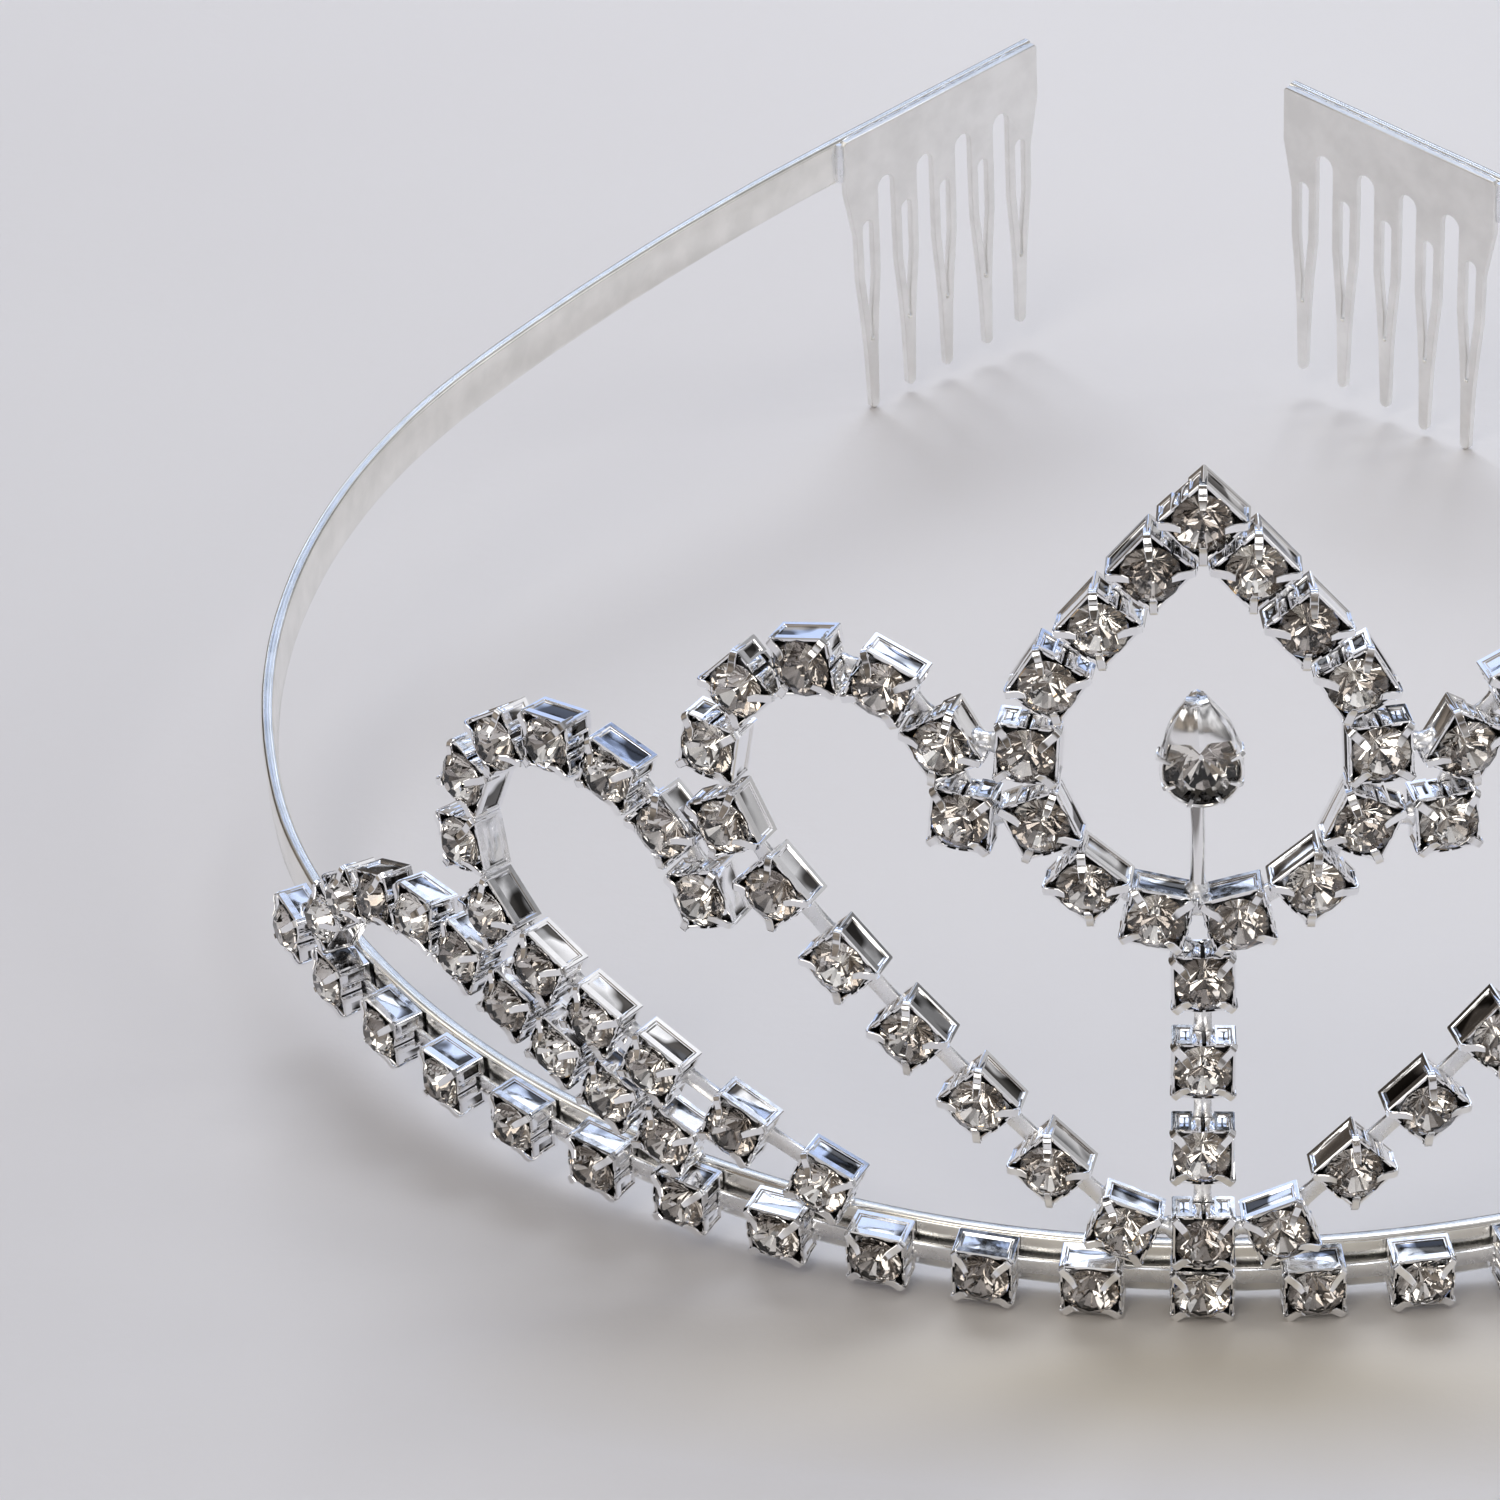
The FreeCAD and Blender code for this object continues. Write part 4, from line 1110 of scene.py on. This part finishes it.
def bridge(shell, first, second, seed):
    """Spool of solder between two settings: wide where it wets each, drawn in between."""
    rng = np.random.default_rng(seed)
    level = Vector((0, 0, BRIDGE_LEVEL))
    gap = (second @ level - first @ level).normalized()
    start = first @ level + gap * BRIDGE_INSET
    end = second @ level - gap * BRIDGE_INSET
    along = (end - start).normalized()
    side = (first.to_3x3() @ UP).cross(along).normalized()
    face = along.cross(side)
    loops = []
    for k in range(9):
        radius = BRIDGE_WAIST + (BRIDGE_END - BRIDGE_WAIST) * abs(k / 4 - 1) ** 2.2
        if k in (0, 8):
            radius *= 0.8
        centre = start.lerp(end, k / 8) + side * (0.06 * (rng.random() - 0.5))
        loops.append(round_loop(centre, side, face, radius, radius * 0.8, 18, 0.06, 6.3 * rng.random()))
    shell.loft(loops)


def foot(shell, place, seed):
    """Solder between the strip's upper edge and the back of a setting that stands over it."""
    back = place.translation
    angle = atan2(back.x, FRONT_RADIUS - back.y)
    low = Vector((0, FRONT_RADIUS, 0)) + outward(angle) * FRONT_RADIUS + UP * (STRIP_HEIGHT - 0.25)
    high = back + outward(angle) * 0.1
    rng = np.random.default_rng(seed)
    loops = []
    for k in range(8):
        edge = abs(2 * k / 7 - 1)
        wide = 0.75 + 0.45 * edge ** 2
        deep = 0.34 + 0.12 * edge
        loops.append(round_loop(low.lerp(high, k / 7), across(angle), outward(angle), wide, deep, 18, 0.05,
                                6.3 * rng.random()))
    shell.loft(loops)


crest_solder = Shell()
foot(crest_solder, STEM[0], 60)
bridge(crest_solder, STEM[-1], RING[0], 61)
bridge(crest_solder, STEM[-1], RING[-1], 62)
seed = 70
for side_name in ("left", "right"):
    ring_side = RING if side_name == "right" else RING[::-1]
    inner = SCROLL[("inner", side_name)]
    middle = SCROLL[("middle", side_name)]
    for name in SCROLLS:
        seed += 1
        foot(crest_solder, SCROLL[(name, side_name)][0], seed)
    for first, second in ((inner[-1], ring_side[2]), (inner[-2], ring_side[3]), (middle[-2], inner[6]),
                          (inner[0], STEM[0])):
        seed += 1
        bridge(crest_solder, first, second, seed)
foot_point = PIN_PLACE @ Vector((0, PIN_FOOT + 0.02, CUP_DEPTH / 2))
crest_solder.loft([round_loop(foot_point + PIN_Y * height, PIN_Z, PIN_X, radius, radius, 18, 0.05,
                              10 * height) for height, radius in PIN_BEAD])
stands_for(crest_solder.piece("crest_solder_beads", [SOLDER], 60), "crest", "crest_solder")

pads = Shell()
for number, place in enumerate(BASE):
    rng = np.random.default_rng(90 + number)
    x_dir = place.to_3x3() @ ALONG
    y_dir = place.to_3x3() @ ACROSS
    pads.loft([round_loop(place @ Vector((0, 0, depth)), x_dir, y_dir, wide, tall, 18, 0.05,
                          6.3 * rng.random()) for depth, wide, tall in PAD_LOOPS])
stands_for(pads.piece("base_solder_pads", [SOLDER], 60), "crest", "base_solder")


# ---- floor, light and camera ----

def blended(tree, kind, factor, first, second):
    """The first colour with the second laid over it by the factor."""
    inputs = {"Factor": factor, "A": first, "B": (*second, 1)}
    return node(tree, "Mix", inputs, "Result", data_type="RGBA", blend_type=kind)


def floor():
    """Pale paper with painted shade towards one side, a painted warm shadow near the front row and painted
    falloff to dark far away.
    """
    material, tree, shader = new_material("pale_floor")
    pale = two_tone(tree, noise(tree, 6, 3.0), FLOOR_LOW, FLOOR_HIGH)
    where = node(tree, "TexCoord", {}, "Object")
    # painted shade: darker towards one side, as the light falls off
    aside = node(tree, "VectorMath", {0: where, 1: SIDE_SHADE_WAY}, "Value", operation="DOT_PRODUCT")
    side_shade = ranged(tree, aside, 1.0, 0.0, at=SIDE_SHADE_REACH)
    pale = blended(tree, "MULTIPLY", side_shade, pale, FLOOR_SIDE_SHADE)
    # painted warm shadow on a flat oval under the middle of the front row
    squeezed = node(tree, "VectorMath", {0: where, 1: WARM_SQUEEZE}, "Vector", operation="MULTIPLY")
    front_row = REST.translation * MM
    spot = (WARM_SQUEEZE[0] * front_row.x, WARM_SQUEEZE[1] * (front_row.y - WARM_AHEAD), 0)
    near = node(tree, "VectorMath", {0: squeezed, 1: spot}, "Value", operation="DISTANCE")
    warm_shadow = ranged(tree, near, WARM_SHARE, 0.0, at=WARM_REACH)
    pale = blended(tree, "MULTIPLY", warm_shadow, pale, FLOOR_WARM_SHADOW)
    # painted falloff: the floor goes dark well away from the tiara
    away = node(tree, "VectorMath", {0: where, 1: (0, 0, 0)}, "Value", operation="DISTANCE")
    far = ranged(tree, away, 0.0, 1.0, at=FAR_REACH)
    tree.links.new(blended(tree, "MIX", far, pale, FLOOR_FAR_SHADE), shader.inputs["Base Color"])
    shader.inputs["Roughness"].default_value = 0.7
    bumped(tree, shader, noise(tree, 900, 4.0), 0.12, 0.0002)
    mesh = bpy.data.meshes.new("studio_floor")
    corners = [(FLOOR_HALF * x, FLOOR_HALF * y, 0) for x, y in ((-1, -1), (1, -1), (1, 1), (-1, 1))]
    mesh.from_pydata(corners, [], [(0, 1, 2, 3)])
    mesh.materials.append(material)
    linked("studio_floor", mesh)


def softbox(name, place, size, power, colour, lights_floor, mirrored_in_metal):
    """Rectangular light aimed at the tiara."""
    light = bpy.data.lights.new(name, "AREA")
    light.shape = "RECTANGLE"
    light.size, light.size_y = size
    light.energy = power
    light.color = colour
    made = linked(name, light)
    made.location = place
    made.rotation_mode = "QUATERNION"
    made.rotation_quaternion = (Vector(LIGHTS_AIM) - Vector(place)).to_track_quat("-Z", "Y")
    made.visible_diffuse = lights_floor
    made.visible_glossy = mirrored_in_metal


def studio_world():
    """Grey room with a tall window of blue and white panes behind and above the tiara."""
    world = bpy.data.worlds.new("studio")
    bpy.context.scene.world = world
    world.use_nodes = True
    tree = world.node_tree
    background = tree.nodes["Background"]
    way = node(tree, "TexCoord", {}, "Generated")

    def maths(operation, *values, clamp=False):
        return node(tree, "Math", dict(enumerate(values)), "Value", operation=operation, use_clamp=clamp)

    # the room: brownish in front and low, greyer and lighter above and to the right
    towards = node(tree, "VectorMath", {0: way, 1: ROOM_LIT_FROM}, "Value", operation="DOT_PRODUCT")
    room = coloured(tree, maths("MULTIPLY_ADD", towards, 0.5, 0.5),
                    ((0.0, ROOM_DARK), (0.5, ROOM_WALL), (0.75, ROOM_LIGHT), (1.0, ROOM_CEILING)))
    patches = node(tree, "TexNoise", {"Vector": way, "Scale": 2.3, "Detail": 1.0}, "Fac")
    uneven = ranged(tree, patches, *ROOM_CONTRAST, at=(0.38, 0.62))
    room = node(tree, "VectorMath", {0: room, "Scale": uneven}, "Vector", operation="SCALE")

    # the window: panes between dark bars
    split = node(tree, "SeparateXYZ", {"Vector": way}, "X").node
    x, y, z = (split.outputs[axis] for axis in "XYZ")
    away = maths("MAXIMUM", y, 0.02)
    aside = maths("DIVIDE", x, away)
    above = maths("DIVIDE", z, away)
    place = node(tree, "CombineXYZ", {"X": aside, "Y": above}, "Vector")
    panes = node(tree, "TexBrick", {
        "Vector": place, "Scale": 1.0, "Brick Width": PANE_WIDTH, "Row Height": PANE_HEIGHT,
        "Mortar Size": PANE_BAR, "Mortar Smooth": 0.3, "Mortar": (*BAR_DARK, 1),
        "Color1": (*SKY_BLUE, 1), "Color2": (*SKY_WHITE, 1)}, "Color", offset=0.0)
    inside = 1.0
    for value, (low, high) in ((aside, WINDOW_SIDES), (above, WINDOW_ENDS)):
        for edge, sharpness in ((low, WINDOW_CRISP), (high, -WINDOW_CRISP)):
            step = maths("MULTIPLY", maths("SUBTRACT", value, edge), sharpness, clamp=True)
            inside = maths("MULTIPLY", inside, step)
    seen = node(tree, "Mix", {"Factor": inside, "A": room, "B": panes}, "Result", data_type="RGBA")
    tree.links.new(seen, background.inputs["Color"])
    background.inputs["Strength"].default_value = WORLD_STRENGTH


def camera():
    """Long lens in front of the tiara and above it, turned a little to -X."""
    data = bpy.data.cameras.new("view")
    data.sensor_width = 36.0
    data.lens = CAMERA_LENS
    data.clip_start = 0.01
    data.clip_end = 10.0
    yaw, pitch, roll = (radians(angle) for angle in CAMERA_TURN)
    forward = Vector((sin(yaw) * cos(pitch), cos(yaw) * cos(pitch), -sin(pitch)))
    level = forward.cross(UP).normalized()
    upright = level.cross(forward)
    x_dir = level * cos(roll) + upright * sin(roll)
    y_dir = upright * cos(roll) - level * sin(roll)
    made = linked("view", data)
    made.matrix_world = from_axes(Vector(CAMERA_PLACE), x_dir, y_dir, -forward)
    bpy.context.scene.camera = made


floor()
studio_world()
for values in LIGHTS:
    softbox(*values)
camera()
bpy.context.scene.view_settings.view_transform = "Standard"
